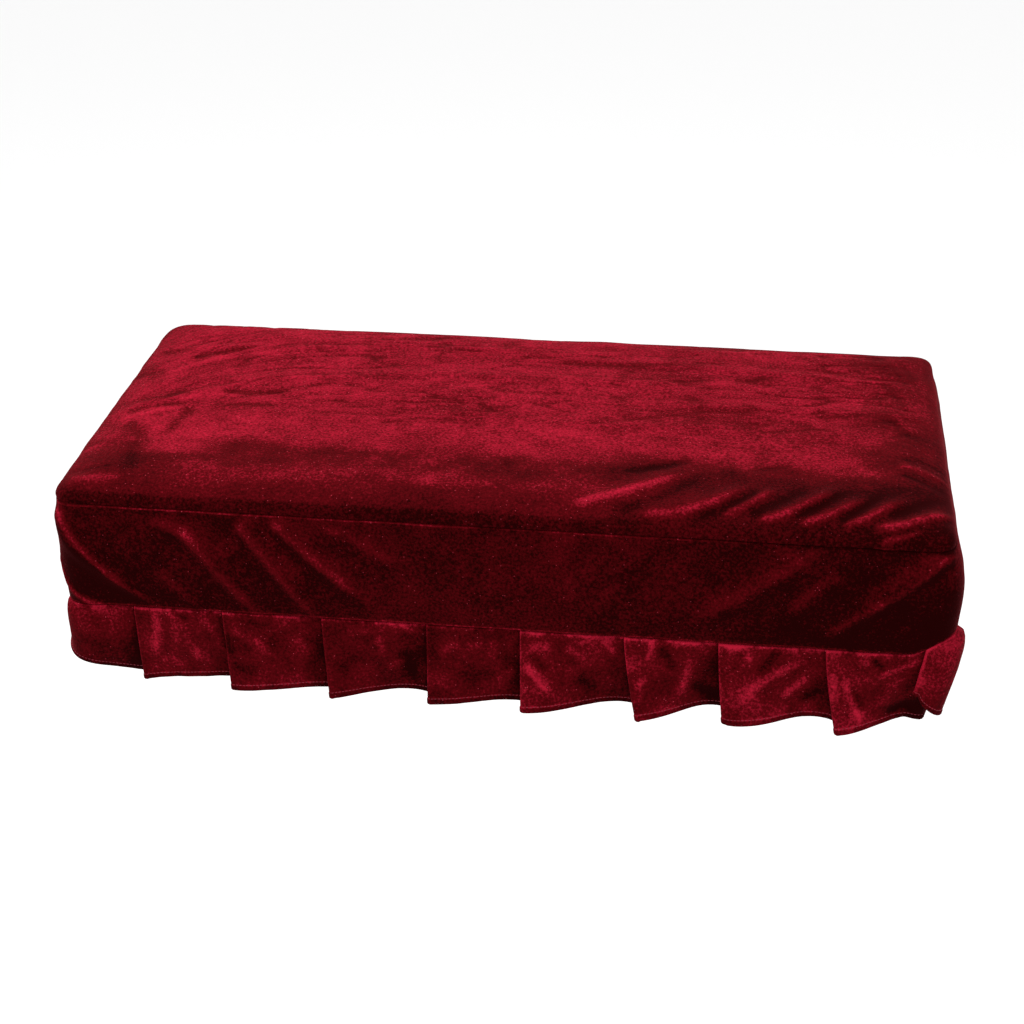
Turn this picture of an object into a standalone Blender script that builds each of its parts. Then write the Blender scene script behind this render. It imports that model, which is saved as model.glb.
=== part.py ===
"""A fitted velvet cover for a piano bench: a crowned top panel, a side band and a pleated ruffle.

Metres, +Z up, +X along the length, and the front looks along -Y. The origin is the middle of the
top panel's underside. A place on the sides is given by its distance along the outline, measured
from the middle of the front and growing to the right, so on the front it equals x.
"""

import bpy
import numpy as np

# Driving sizes
LENGTH = 0.760
DEPTH = 0.375
CROWN = 0.006
RIM_WIDTH = 0.053
RIM_DROP = 0.020
BAND_HEIGHT = 0.099
RUFFLE_HEIGHT = 0.076
CLOTH = 0.0016
SEAM_GAP = 0.0003
RUFFLE_GAP = 0.0008
SEAM_LIP = 0.002

# How the sides stand: the corners' superellipse powers, and the swell and bulge of each side
CORNER_POWER = 6.0
BACK_RIGHT_POWER = 9.0
BAND_SWELL = 0.002
LEFT_SWELL = 0.004
LEFT_BULGE = -0.001
RIGHT_SWELL = -0.002
RIGHT_BULGE = 0.0095
RIGHT_BULGE_POWER = 4
END_BLEND = 0.04

# How a fold rises along its first stretch and fades over its last; how much of it is lost at
# the rim's edge and how late; and how late the rim's ends spread out to meet the band
FOLD_STATIONS = 25
FOLD_RISE = 0.15
FOLD_FADE = 0.3
RIM_LOSS = 0.6
RIM_LOSS_POWER = 4
RIM_SPREAD_POWER = 8

# Pleats: the tuck behind the next pleat, the spacing of the layers at the seam, how much lower
# the deeper layers start, where along a face it starts to slip behind the next pleat and over
# what share of it, and the tuck, its depth and the folds' radius at the hem
UNDERLAP = 0.016
LAYER_PITCH = 0.0026
LAYER_DROP = 0.4
SLIP_START = 0.5
SLIP_SHARE = 0.45
HEM_UNDERLAP = 0.010
HEM_TUCK = 0.011
HEM_FOLD = 0.0022
RETURN_RISE = 0.003

# Mesh steps: the top's flat part has closer lines on the right and at the front, where it drags
RIM_STEPS = 5
TOP_LEFT_STEPS = 12
TOP_RIGHT_STEPS = 22
TOP_LONG_CHANGE = 0.1
TOP_FRONT_STEPS = 7
TOP_BACK_STEPS = 6
TOP_SHORT_CHANGE = -0.2
BAND_ROWS = 7
BAND_STEPS = (56, 12, 7, 4, 12, 4, 7, 12)
CORNER_POINTS = 41
CORNER_HALF = 0.030
NEAR_REACH = 0.003
FAR_REACH = 0.04
FACE_STEPS = 5
FACE_CORNER_STEPS = 8
RUFFLE_ROWS = 4
LIP_SHARE = 0.2

HALF_LENGTH = LENGTH / 2
HALF_DEPTH = DEPTH / 2
TOP_Z = CLOTH - CROWN
UPPER_SEAM_Z = TOP_Z - RIM_DROP
LOWER_SEAM_Z = UPPER_SEAM_Z - BAND_HEIGHT

# Drag folds pulled into the band: each runs from start to end by way of middle.
# Columns: start along, start down, middle along, middle down, end along, end down, height, half width
BAND_FOLDS = (
    (-0.376, 0.002, -0.359, 0.048, -0.302, 0.092, 0.0035, 0.007),
    (-0.292, 0.014, -0.248, 0.038, -0.214, 0.096, 0.0028, 0.011),
    (-0.218, 0.002, -0.190, 0.046, -0.152, 0.098, 0.0030, 0.009),
    (-0.186, 0.004, -0.154, 0.042, -0.094, 0.100, 0.0026, 0.009),
    (-0.136, 0.008, -0.110, 0.028, -0.080, 0.052, 0.0012, 0.010),
    (0.380, 0.001, 0.340, 0.028, 0.284, 0.082, 0.0032, 0.008),
    (0.256, 0.012, 0.222, 0.042, 0.158, 0.086, 0.0022, 0.011),
    (0.290, 0.028, 0.264, 0.050, 0.240, 0.074, 0.0014, 0.010),
)

# Drag folds over the front edge of the top: each runs from the seam side to the seat side.
# Columns: start x, start inset, middle x, middle inset, end x, end inset, height, half width
RIM_FOLDS = (
    (0.066, 0.020, 0.112, 0.046, 0.164, 0.090, 0.0022, 0.008),
    (0.114, 0.016, 0.169, 0.027, 0.211, 0.066, 0.0028, 0.008),
    (0.188, 0.018, 0.211, 0.034, 0.231, 0.061, 0.0018, 0.005),
    (0.212, 0.014, 0.251, 0.031, 0.284, 0.069, 0.0028, 0.0075),
    (0.249, 0.012, 0.277, 0.026, 0.306, 0.056, 0.0022, 0.006),
    (0.286, 0.013, 0.308, 0.026, 0.340, 0.058, 0.0024, 0.0065),
    (0.314, 0.012, 0.348, 0.023, 0.380, 0.053, 0.0024, 0.006),
)

# Long shallow wrinkles across the top: middle x, middle y, half length, slant, height, half width
TOP_WRINKLES = (
    (-0.250, 0.110, 0.100, 0.10, 0.0012, 0.008),
    (-0.215, 0.040, 0.120, 0.14, 0.0014, 0.009),
    (-0.300, 0.000, 0.060, 0.55, 0.0016, 0.008),
    (-0.060, 0.125, 0.140, -0.03, 0.0012, 0.008),
    (0.020, 0.060, 0.150, 0.02, 0.0013, 0.010),
    (0.110, 0.105, 0.130, -0.05, 0.0012, 0.008),
    (0.215, 0.020, 0.120, 0.03, 0.0013, 0.009),
    (0.270, 0.095, 0.080, -0.12, 0.0014, 0.008),
    (0.120, -0.030, 0.120, 0.02, 0.0010, 0.009),
)

# The lower seam is drawn up at the right front corner. Columns: along, rise
SEAM_RISES = (
    (0.344, 0.0000),
    (0.352, 0.0018),
    (0.360, 0.0072),
    (0.368, 0.0145),
    (0.376, 0.0195),
    (0.384, 0.0215),
    (0.392, 0.0205),
    (0.402, 0.0170),
    (0.414, 0.0115),
    (0.428, 0.0055),
    (0.442, 0.0015),
    (0.456, 0.0000),
)

# Pleats of the front, from the left corner to the right corner. Columns: where the outer fold
# leaves the seam; how far it leans to the right at the hem; how late it opens on the way down;
# how far it bows out a quarter of the way down; how far its tail runs on behind the next pleat;
# how far the hem stands out of the lower seam's line at the fold, a third and two thirds along
# the face, and at its far end; and how far the hem rises at those four places
FRONT_PLEATS = (
    (-0.405, 0.002, 3.00, 0.005, 0.010, 0.008, 0.002, -0.009, -0.012, 0.026, 0.017, 0.007, 0.003),
    (-0.319, 0.001, 1.35, 0.001, 0.010, -0.004, -0.008, -0.010, -0.012, -0.002, 0.000, 0.002, 0.003),
    (-0.240, 0.004, 1.35, 0.001, 0.010, 0.004, 0.004, -0.001, -0.005, -0.002, 0.000, 0.002, 0.003),
    (-0.152, 0.005, 1.35, 0.001, 0.010, 0.007, -0.001, -0.009, -0.005, -0.002, 0.000, 0.002, 0.003),
    (-0.060, 0.000, 1.35, 0.001, 0.010, 0.007, 0.004, -0.001, -0.002, -0.002, 0.000, 0.002, 0.003),
    (0.021, 0.001, 1.35, 0.001, 0.010, 0.010, 0.004, -0.008, -0.008, -0.002, 0.000, 0.002, 0.003),
    (0.110, 0.012, 1.35, 0.001, 0.010, 0.013, 0.001, -0.012, -0.014, -0.002, 0.000, 0.002, 0.003),
    (0.190, 0.006, 1.35, 0.001, 0.010, 0.007, 0.006, -0.008, -0.003, -0.002, 0.000, 0.002, 0.003),
    (0.280, 0.012, 1.35, 0.001, 0.030, 0.011, 0.001, -0.015, -0.018, -0.002, 0.000, 0.002, 0.003),
    (0.362, -0.008, 1.00, 0.012, 0.010, 0.004, -0.012, -0.036, -0.012, 0.040, 0.010, 0.006, 0.003),
)
OTHER_PLEATS = 16
OTHER_RISES = (-0.002, 0.000, 0.002, 0.003)
OTHER_SHAPE = (1.35, 0.001, 0.010)
PLEAT_SEED = 5

VELVET_RED = (0.30, 0.008, 0.022, 1.0)


def clear_scene():
    for item in list(bpy.data.objects):
        bpy.data.objects.remove(item, do_unlink=True)


def velvet(name):
    """A deep red cloth material."""
    material = bpy.data.materials.new(name)
    material.use_nodes = True
    shader = material.node_tree.nodes["Principled BSDF"]
    shader.inputs["Base Color"].default_value = VELVET_RED
    shader.inputs["Roughness"].default_value = 0.85
    shader.inputs["Metallic"].default_value = 0.0
    return material


def smooth_step(t):
    t = np.clip(t, 0.0, 1.0)
    return t * t * (3.0 - 2.0 * t)


def corner_reach(across, along):
    """How far a corner direction reaches on a superellipse of unit half axes."""
    power = np.where((across > 0.0) & (along > 0.0), BACK_RIGHT_POWER, CORNER_POWER)
    return (np.abs(across) ** power + np.abs(along) ** power) ** (1.0 / power)


def corner_arc(side, end):
    """One corner of the plan, from the short side to the long side; each sign picks a side."""
    turn = np.linspace(0.0, np.pi / 2, CORNER_POINTS)
    bend = np.stack([side * np.cos(turn), end * np.sin(turn)], axis=1)
    reach = corner_reach(bend[:, 0], bend[:, 1])
    middle = np.array([side * (HALF_LENGTH - RIM_WIDTH), end * (HALF_DEPTH - RIM_WIDTH)])
    return middle + RIM_WIDTH * bend / reach[:, None]


def outline_points():
    """The plan of the upper seam: a rectangle with superellipse corners, from the front's middle."""
    start = np.array([[0.0, -HALF_DEPTH]])
    right = [corner_arc(1, -1)[::-1], corner_arc(1, 1)]
    left = [corner_arc(-1, 1)[::-1], corner_arc(-1, -1)]
    return np.concatenate([start, *right, *left, start])


OUTLINE = outline_points()
OUTLINE_STEPS = np.linalg.norm(np.diff(OUTLINE, axis=0), axis=1)
OUTLINE_ALONG = np.concatenate([[0.0], np.cumsum(OUTLINE_STEPS)])
OUTLINE_LENGTH = OUTLINE_ALONG[-1]
FRONT_CORNER = OUTLINE_ALONG[1 + CORNER_POINTS // 2]


def outline(along):
    """The point of the upper seam's plan at a distance along it."""
    along = np.mod(along, OUTLINE_LENGTH)
    x = np.interp(along, OUTLINE_ALONG, OUTLINE[:, 0])
    y = np.interp(along, OUTLINE_ALONG, OUTLINE[:, 1])
    return np.stack([x, y], axis=-1)


def outward(along, reach):
    """The outward direction in plan, averaged over a stretch of the outline on each side."""
    ahead = outline(along + reach) - outline(along - reach)
    ahead /= np.linalg.norm(ahead, axis=-1, keepdims=True)
    return np.stack([ahead[..., 1], -ahead[..., 0]], axis=-1)


def from_front(along):
    """The same place measured the shorter way from the front's middle, so it is negative leftwards."""
    return np.mod(along + OUTLINE_LENGTH / 2, OUTLINE_LENGTH) - OUTLINE_LENGTH / 2


def near_end(x, side):
    """Grows from 0 to 1 over the last stretch of the length, on the right (1) or left (-1)."""
    return smooth_step((side * x - HALF_LENGTH + END_BLEND) / END_BLEND)


def end_stand(x, down):
    """How far the ends stand out: the left from its seam down, the right bulging below it."""
    left = (LEFT_SWELL + LEFT_BULGE * down) * near_end(x, -1)
    bulge = RIGHT_BULGE * (1.0 - (1.0 - down) ** RIGHT_BULGE_POWER)
    return left + (RIGHT_SWELL + bulge) * near_end(x, 1)


def fold_height(across, down, folds):
    """Sums soft ridges that follow curved lines, fading at both ends of each line."""
    height = np.zeros_like(across)
    for row in folds:
        start, middle, end = np.reshape(row[:6], (3, 2))
        top, half_width = row[6:]
        pull = 2 * middle - (start + end) / 2
        best = np.full_like(across, np.inf)
        place = np.zeros_like(across)
        for t in np.linspace(0.0, 1.0, FOLD_STATIONS):
            point = (1 - t) ** 2 * start + 2 * t * (1 - t) * pull + t**2 * end
            distance = np.hypot(across - point[0], down - point[1])
            closer = distance < best
            best = np.where(closer, distance, best)
            place = np.where(closer, t, place)
        fade = smooth_step(place / FOLD_RISE) * smooth_step((1.0 - place) / FOLD_FADE)
        height += top * fade * np.exp(-((best / half_width) ** 2))
    return height


def wrinkle_height(x, y):
    """Long shallow ridges over the top, each a slanted bump."""
    height = np.zeros_like(x)
    for middle_x, middle_y, half_length, slant, top, half_width in TOP_WRINKLES:
        run = (x - middle_x) / half_length
        rise = (y - middle_y - slant * (x - middle_x)) / half_width
        height += top * np.exp(-(run**2) - rise**2)
    return height


def grid_object(name, points, wraps):
    """A quad mesh through rows of points; wraps joins the last column to the first."""
    rows, columns = points.shape[:2]
    index = np.arange(rows * columns).reshape(rows, columns)
    right = np.roll(index, -1, axis=1) if wraps else index[:, 1:]
    left = index if wraps else index[:, :-1]
    corners = (left[:-1], left[1:], right[1:], right[:-1])
    faces = np.stack([corner.ravel() for corner in corners], axis=1)
    mesh = bpy.data.meshes.new(name)
    mesh.from_pydata(points.reshape(-1, 3).tolist(), [], faces.tolist())
    mesh.shade_smooth()
    item = bpy.data.objects.new(name, mesh)
    bpy.context.scene.collection.objects.link(item)
    item.data.materials.append(velvet(name + "_velvet"))
    return item


def give_thickness(item, side):
    """Solidify: side is -1 for a wall inside the surface and 0 for a wall about its middle."""
    wall = item.modifiers.new("cloth", "SOLIDIFY")
    wall.thickness = CLOTH
    wall.offset = side
    wall.use_rim = True
    return item


def rim_stations(flat_lines):
    """Grid lines from end to end: the share of the rim at each, signed, and the place on the flat.

    The rim's last step, from a share of 1 to 1 + LIP_SHARE, is the upright lip at the seam.
    """
    rim = np.append(np.linspace(0.0, 1.0, RIM_STEPS + 1), 1.0 + LIP_SHARE)
    share = np.concatenate([-rim[::-1], np.zeros(len(flat_lines) - 2), rim])
    ends = np.ones(RIM_STEPS + 1)
    place = np.concatenate([-ends, flat_lines, ends])
    return share, place


def two_spacings(change, steps_before, steps_after):
    """Lines from -1 to 1 whose spacing changes at one place."""
    before = np.linspace(-1.0, change, steps_before, endpoint=False)
    after = np.linspace(change, 1.0, steps_after + 1)
    return np.concatenate([before, after])


def top_panel():
    """The top: flat with a crown in the middle, and a quarter-ellipse rim down to the upper seam.

    In the corner patches the two rim shares are turned into one share along a superellipse.
    """
    long_lines = two_spacings(TOP_LONG_CHANGE, TOP_LEFT_STEPS, TOP_RIGHT_STEPS)
    short_lines = two_spacings(TOP_SHORT_CHANGE, TOP_FRONT_STEPS, TOP_BACK_STEPS)
    share_x, place_x = rim_stations(long_lines)
    share_y, place_y = rim_stations(short_lines)
    share_x, share_y = np.meshgrid(share_x, share_y)
    place_x, place_y = np.meshgrid(place_x, place_y)
    share = np.maximum(np.abs(share_x), np.abs(share_y))
    reach = np.maximum(corner_reach(share_x, share_y), 1e-9)
    turn = np.minimum(share, 1.0) * np.pi / 2
    edge = np.sin(turn)
    edge_x = edge * share_x / reach
    edge_y = edge * share_y / reach
    x = place_x * (HALF_LENGTH - RIM_WIDTH) + edge_x * RIM_WIDTH
    y = place_y * (HALF_DEPTH - RIM_WIDTH) + edge_y * RIM_WIDTH
    crown = CROWN * (1.0 - (x / HALF_LENGTH) ** 2) * (1.0 - (y / HALF_DEPTH) ** 2)
    z = TOP_Z + crown - (RIM_DROP - SEAM_LIP) * (1.0 - np.cos(turn))
    z = z - SEAM_LIP * np.maximum(share - 1.0, 0.0) / LIP_SHARE
    folds = fold_height(x, HALF_DEPTH + y, RIM_FOLDS)
    lift = 1.0 - RIM_LOSS * edge**RIM_LOSS_POWER
    z = z + (folds + wrinkle_height(x, y)) * lift
    y = y - folds * edge**2
    x = x + np.sign(x) * end_stand(x, 0.0) * edge**RIM_SPREAD_POWER
    points = np.stack([x, y, z], axis=-1)
    item = grid_object("top_panel", points[:, ::-1], wraps=False)
    return give_thickness(item, -1)


def band_columns():
    """Distances along the outline, closer together on the front and round its two corners."""
    corners = (
        FRONT_CORNER,
        OUTLINE_LENGTH / 2 - FRONT_CORNER,
        OUTLINE_LENGTH / 2 + FRONT_CORNER,
        OUTLINE_LENGTH - FRONT_CORNER,
    )
    stops = [CORNER_HALF - FRONT_CORNER]
    for corner in corners:
        stops += [corner - CORNER_HALF, corner + CORNER_HALF]
    parts = [
        np.linspace(start, end, steps, endpoint=False)
        for start, end, steps in zip(stops, stops[1:], BAND_STEPS)
    ]
    return np.concatenate(parts)


def band_offset(along, down):
    """How far the band stands out of the upper seam's plan, at a share of the way down."""
    x = outline(along)[..., 0]
    folds = fold_height(from_front(along), down * BAND_HEIGHT, BAND_FOLDS)
    return BAND_SWELL * np.sin(np.pi * down) + end_stand(x, down) + folds


def side_band():
    """The band: one strip round the outline, with its swell and its drag folds."""
    lip = SEAM_LIP / BAND_HEIGHT
    share = np.concatenate([[0.0], np.linspace(lip, 1.0 - lip, BAND_ROWS + 1), [1.0]])
    along, share = np.meshgrid(band_columns(), share)
    down = (share - lip) / (1.0 - 2 * lip)
    offset = band_offset(along, np.clip(down, 0.0, 1.0))
    plan = outline(along) + outward(along, NEAR_REACH) * offset[..., None]
    height = UPPER_SEAM_Z - lower_seam(along) - 2 * SEAM_GAP
    z = UPPER_SEAM_Z - SEAM_GAP - share * height
    points = np.concatenate([plan, z[..., None]], axis=-1)
    return give_thickness(grid_object("side_band", points, wraps=True), -1)


def pleat_rows():
    """Every pleat in order, with the columns of FRONT_PLEATS; those out of sight are alike."""
    rows = [list(row) for row in FRONT_PLEATS]
    random = np.random.default_rng(PLEAT_SEED)
    first = FRONT_PLEATS[-1][0]
    last = OUTLINE_LENGTH + FRONT_PLEATS[0][0]
    spacing = (last - first) / (OTHER_PLEATS + 1)
    for count in range(OTHER_PLEATS):
        place = first + spacing * (count + 1) + random.uniform(-0.003, 0.003)
        lean = random.uniform(-0.002, 0.008)
        hem = (
            random.uniform(0.004, 0.010),
            random.uniform(0.000, 0.006),
            random.uniform(-0.010, -0.002),
            random.uniform(-0.012, -0.004),
        )
        rows.append([place, lean, *OTHER_SHAPE, *hem, *OTHER_RISES])
    return np.array(rows)


def through(values, share):
    """A smooth line through four equally spaced values."""
    stations = np.linspace(0.0, 1.0, 4)
    step = share[:, None] - stations
    line = np.zeros_like(share)
    for k in range(4):
        others = [m for m in range(4) if m != k]
        weight = np.prod(step[:, others] / (stations[k] - stations[others]), axis=1)
        line += values[k] * weight
    return line


def pleat_path(row, next_row):
    """One pleat as columns of points: along and depth at the seam, along, depth and rise at the hem,
    and the pleat's curl and belly.

    It starts on the return layer, turns round the outer fold, runs along the face, and turns
    round the inner fold behind the next pleat. Depth grows inwards from the lower seam's line.
    """
    place, lean, curl, belly, tail = row[:5]
    hem, rise = row[5:9], row[9:13]
    inner_rise = max(rise[3], next_row[10] + RETURN_RISE)
    next_place, next_lean = next_row[0], next_row[1]
    half = LAYER_PITCH / 2
    turned = 1.0 - np.sum(outward(place, NEAR_REACH) * outward(next_place, NEAR_REACH))
    steps = FACE_STEPS + round(FACE_CORNER_STEPS * turned)
    share = np.linspace(0.0, 1.0, steps + 1)[1:]
    width = next_place - place
    slip = 2 * LAYER_PITCH * smooth_step((share - SLIP_START) / SLIP_SHARE)
    inner = next_place + UNDERLAP
    seam_along = np.concatenate(
        [
            [place + half, place, place + half],
            place + share * width,
            [inner - half, inner, inner - half],
        ]
    )
    seam_depth = np.concatenate([[2 * half, half, 0.0], slip, [4 * half, 3 * half, 2 * half]])
    start = place + lean
    hem_inner = next_place + next_lean + tail
    hem_width = hem_inner - HEM_UNDERLAP - start
    tuck = -hem[3] + HEM_TUCK * HEM_UNDERLAP / tail
    hem_along = np.concatenate(
        [
            [start + HEM_FOLD, start, start + HEM_FOLD],
            start + share * hem_width,
            [hem_inner - HEM_FOLD, hem_inner, hem_inner - HEM_FOLD],
        ]
    )
    hem_depth = np.concatenate(
        [
            [2 * HEM_FOLD - hem[0], HEM_FOLD - hem[0], -hem[0]],
            -through(hem, share),
            [tuck, tuck - HEM_FOLD, tuck - 2 * HEM_FOLD],
        ]
    )
    behind_rise = [rise[3], inner_rise, inner_rise]
    hem_rise = np.concatenate([[rise[0]] * 3, through(rise, share), behind_rise])
    curls = np.full_like(hem_rise, curl)
    bellies = np.concatenate([np.zeros(3), belly * np.sin(np.pi * share), np.zeros(3)])
    return seam_along, seam_depth, hem_along, hem_depth, hem_rise, curls, bellies


def lower_seam(along):
    """The height of the lower seam."""
    table = np.array(SEAM_RISES)
    return LOWER_SEAM_Z + np.interp(along, table[:, 0], table[:, 1])


def ruffle():
    """The ruffle: the pleated path at the seam, opened out to the hem's path on the way down."""
    rows = pleat_rows()
    following = np.roll(rows, -1, axis=0)
    following[-1, 0] += OUTLINE_LENGTH
    paths = [pleat_path(row, after) for row, after in zip(rows, following)]
    seam_along, seam_depth, hem_along, hem_depth, hem_rise, curl, belly = (
        np.concatenate(part) for part in zip(*paths)
    )
    lip = SEAM_LIP / RUFFLE_HEIGHT
    down = np.append(0.0, np.linspace(lip, 1.0, RUFFLE_ROWS + 1))[:, None]
    past_lip = np.maximum(down - lip, 0.0) / (1.0 - lip)
    open_share = past_lip**curl
    along = seam_along + (hem_along - seam_along) * open_share
    depth = seam_depth + (hem_depth - seam_depth) * open_share + CLOTH / 2
    stand = np.broadcast_to(end_stand(outline(seam_along)[..., 0], 1.0), along.shape)
    bow = belly * np.sin(np.pi * np.sqrt(past_lip)) - depth
    plan = outline(along) + outward(along, NEAR_REACH) * stand[..., None]
    plan = plan + outward(along, FAR_REACH) * bow[..., None]
    seam_z = lower_seam(seam_along) - RUFFLE_GAP - LAYER_DROP * seam_depth
    hem_z = LOWER_SEAM_Z - RUFFLE_HEIGHT + hem_rise
    z = seam_z + (hem_z - seam_z) * down
    points = np.concatenate([plan, z[..., None]], axis=-1)
    return give_thickness(grid_object("ruffle", points, wraps=True), 0)


clear_scene()
top_panel()
side_band()
ruffle()
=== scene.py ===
"""The looks of a fitted velvet cover for a long padded bench.

Three pieces of velvet stand for the three solids: the top panel with its crown and rounded rim, the
side band with its drag folds, and the knife-pleated ruffle with its stitched hem. Each is a closed
sheet worked out on a grid. A place on the sides is its distance along the upper seam's plan, from the
middle of the front and growing to the right, so on the front it equals x. Sizes are in metres.
"""

import bmesh
import bpy
import numpy as np
from mathutils import Matrix, Vector


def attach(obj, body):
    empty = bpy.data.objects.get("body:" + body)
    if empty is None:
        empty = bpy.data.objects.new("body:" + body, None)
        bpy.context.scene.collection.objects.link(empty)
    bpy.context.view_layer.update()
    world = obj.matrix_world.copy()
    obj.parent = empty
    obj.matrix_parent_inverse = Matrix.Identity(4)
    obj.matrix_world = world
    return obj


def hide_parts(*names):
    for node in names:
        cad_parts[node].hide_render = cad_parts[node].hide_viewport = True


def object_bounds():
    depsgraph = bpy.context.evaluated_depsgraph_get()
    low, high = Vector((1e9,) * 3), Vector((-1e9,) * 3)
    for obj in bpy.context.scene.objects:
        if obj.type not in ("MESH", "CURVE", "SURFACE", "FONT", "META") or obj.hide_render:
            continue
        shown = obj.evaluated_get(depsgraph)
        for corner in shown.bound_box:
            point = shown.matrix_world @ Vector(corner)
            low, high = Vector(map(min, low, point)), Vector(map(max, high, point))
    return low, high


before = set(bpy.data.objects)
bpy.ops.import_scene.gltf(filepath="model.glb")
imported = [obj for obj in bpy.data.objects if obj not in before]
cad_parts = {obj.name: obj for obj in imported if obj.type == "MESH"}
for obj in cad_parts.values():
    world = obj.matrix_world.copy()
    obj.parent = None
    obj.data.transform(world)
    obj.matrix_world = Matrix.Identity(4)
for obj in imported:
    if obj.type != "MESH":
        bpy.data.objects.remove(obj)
solids_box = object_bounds()

# Cut sizes of the cover, as in the solids
LENGTH = 0.760
DEPTH = 0.375
CROWN = 0.006
RIM_WIDTH = 0.053
RIM_DROP = 0.020
BAND_HEIGHT = 0.099
RUFFLE_HEIGHT = 0.076
CLOTH = 0.0016
SEAM_GAP = 0.0003
RUFFLE_GAP = 0.0008

# How the sides stand, as in the solids
CORNER_POWER = 6.0
BACK_RIGHT_POWER = 9.0
CORNER_POINTS = 81
BAND_SWELL = 0.002
LEFT_SWELL = 0.004
LEFT_BULGE = -0.001
RIGHT_SWELL = -0.002
RIGHT_BULGE = 0.0095
END_BLEND = 0.04
NEAR_REACH = 0.003
FAR_REACH = 0.04
CORNER_HALF = 0.030

# Pleats, as in the solids
UNDERLAP = 0.016
LAYER_PITCH = 0.0026
LAYER_DROP = 0.4
HEM_UNDERLAP = 0.010
HEM_TUCK = 0.011
HEM_FOLD = 0.0022
RETURN_RISE = 0.003

HALF_LENGTH = LENGTH / 2
HALF_DEPTH = DEPTH / 2
TOP_Z = CLOTH - CROWN
UPPER_SEAM_Z = TOP_Z - RIM_DROP
LOWER_SEAM_Z = UPPER_SEAM_Z - BAND_HEIGHT

# The rolled edges at the seams, the allowances that run on behind them, and the hem
ROLL_HEIGHT = 0.0025
ROLL_DEPTH = 0.0003
BAND_ALLOWANCE = 0.003
RUFFLE_ALLOWANCE = 0.007
ALLOWANCE_DEPTH = 0.0021
SEAM_ROUNDING = 0.0013
HEM_HEIGHT = 0.0055
HEM_THICKNESS = 0.0026
HEM_GROOVE = 0.0009
STITCH_PITCH = 0.0031
STITCH_LENGTH = 0.0023
STITCH_RADIUS = 0.00028

# Drag folds pulled into the band: each runs from start to end by way of middle.
# Columns: start along, start down, middle along, middle down, end along, end down, height, half width
BAND_FOLDS = (
    (-0.376, 0.002, -0.359, 0.048, -0.302, 0.092, 0.0035, 0.007),
    (-0.292, 0.014, -0.248, 0.038, -0.214, 0.096, 0.0028, 0.011),
    (-0.218, 0.002, -0.190, 0.046, -0.152, 0.098, 0.0030, 0.009),
    (-0.186, 0.004, -0.154, 0.042, -0.094, 0.100, 0.0026, 0.009),
    (-0.136, 0.008, -0.110, 0.028, -0.080, 0.052, 0.0012, 0.010),
    (0.380, 0.001, 0.340, 0.028, 0.284, 0.082, 0.0032, 0.008),
    (0.256, 0.012, 0.222, 0.042, 0.158, 0.086, 0.0022, 0.011),
    (0.290, 0.028, 0.264, 0.050, 0.240, 0.074, 0.0014, 0.010),
)

# Drag folds over the front edge of the top: each runs from the seam side to the seat side.
# Columns: start x, start inset, middle x, middle inset, end x, end inset, height, half width
RIM_FOLDS = (
    (0.066, 0.020, 0.112, 0.046, 0.164, 0.090, 0.0022, 0.008),
    (0.114, 0.016, 0.169, 0.027, 0.211, 0.066, 0.0028, 0.008),
    (0.188, 0.018, 0.211, 0.034, 0.231, 0.061, 0.0018, 0.005),
    (0.212, 0.014, 0.251, 0.031, 0.284, 0.069, 0.0028, 0.0075),
    (0.249, 0.012, 0.277, 0.026, 0.306, 0.056, 0.0022, 0.006),
    (0.286, 0.013, 0.308, 0.026, 0.340, 0.058, 0.0024, 0.0065),
    (0.314, 0.012, 0.348, 0.023, 0.380, 0.053, 0.0024, 0.006),
)

# Long shallow wrinkles across the top: middle x, middle y, half length, slant, height, half width
TOP_WRINKLES = (
    (-0.250, 0.110, 0.100, 0.10, 0.0012, 0.008),
    (-0.215, 0.040, 0.120, 0.14, 0.0014, 0.009),
    (-0.300, 0.000, 0.060, 0.55, 0.0016, 0.008),
    (-0.060, 0.125, 0.140, -0.03, 0.0012, 0.008),
    (0.020, 0.060, 0.150, 0.02, 0.0013, 0.010),
    (0.110, 0.105, 0.130, -0.05, 0.0012, 0.008),
    (0.215, 0.020, 0.120, 0.03, 0.0013, 0.009),
    (0.270, 0.095, 0.080, -0.12, 0.0014, 0.008),
    (0.120, -0.030, 0.120, 0.02, 0.0010, 0.009),
)

# The lower seam is drawn up at the right front corner. Columns: along, rise
SEAM_RISES = (
    (0.344, 0.0000),
    (0.352, 0.0018),
    (0.360, 0.0072),
    (0.368, 0.0145),
    (0.376, 0.0195),
    (0.384, 0.0215),
    (0.392, 0.0205),
    (0.402, 0.0170),
    (0.414, 0.0115),
    (0.428, 0.0055),
    (0.442, 0.0015),
    (0.456, 0.0000),
)

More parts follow.
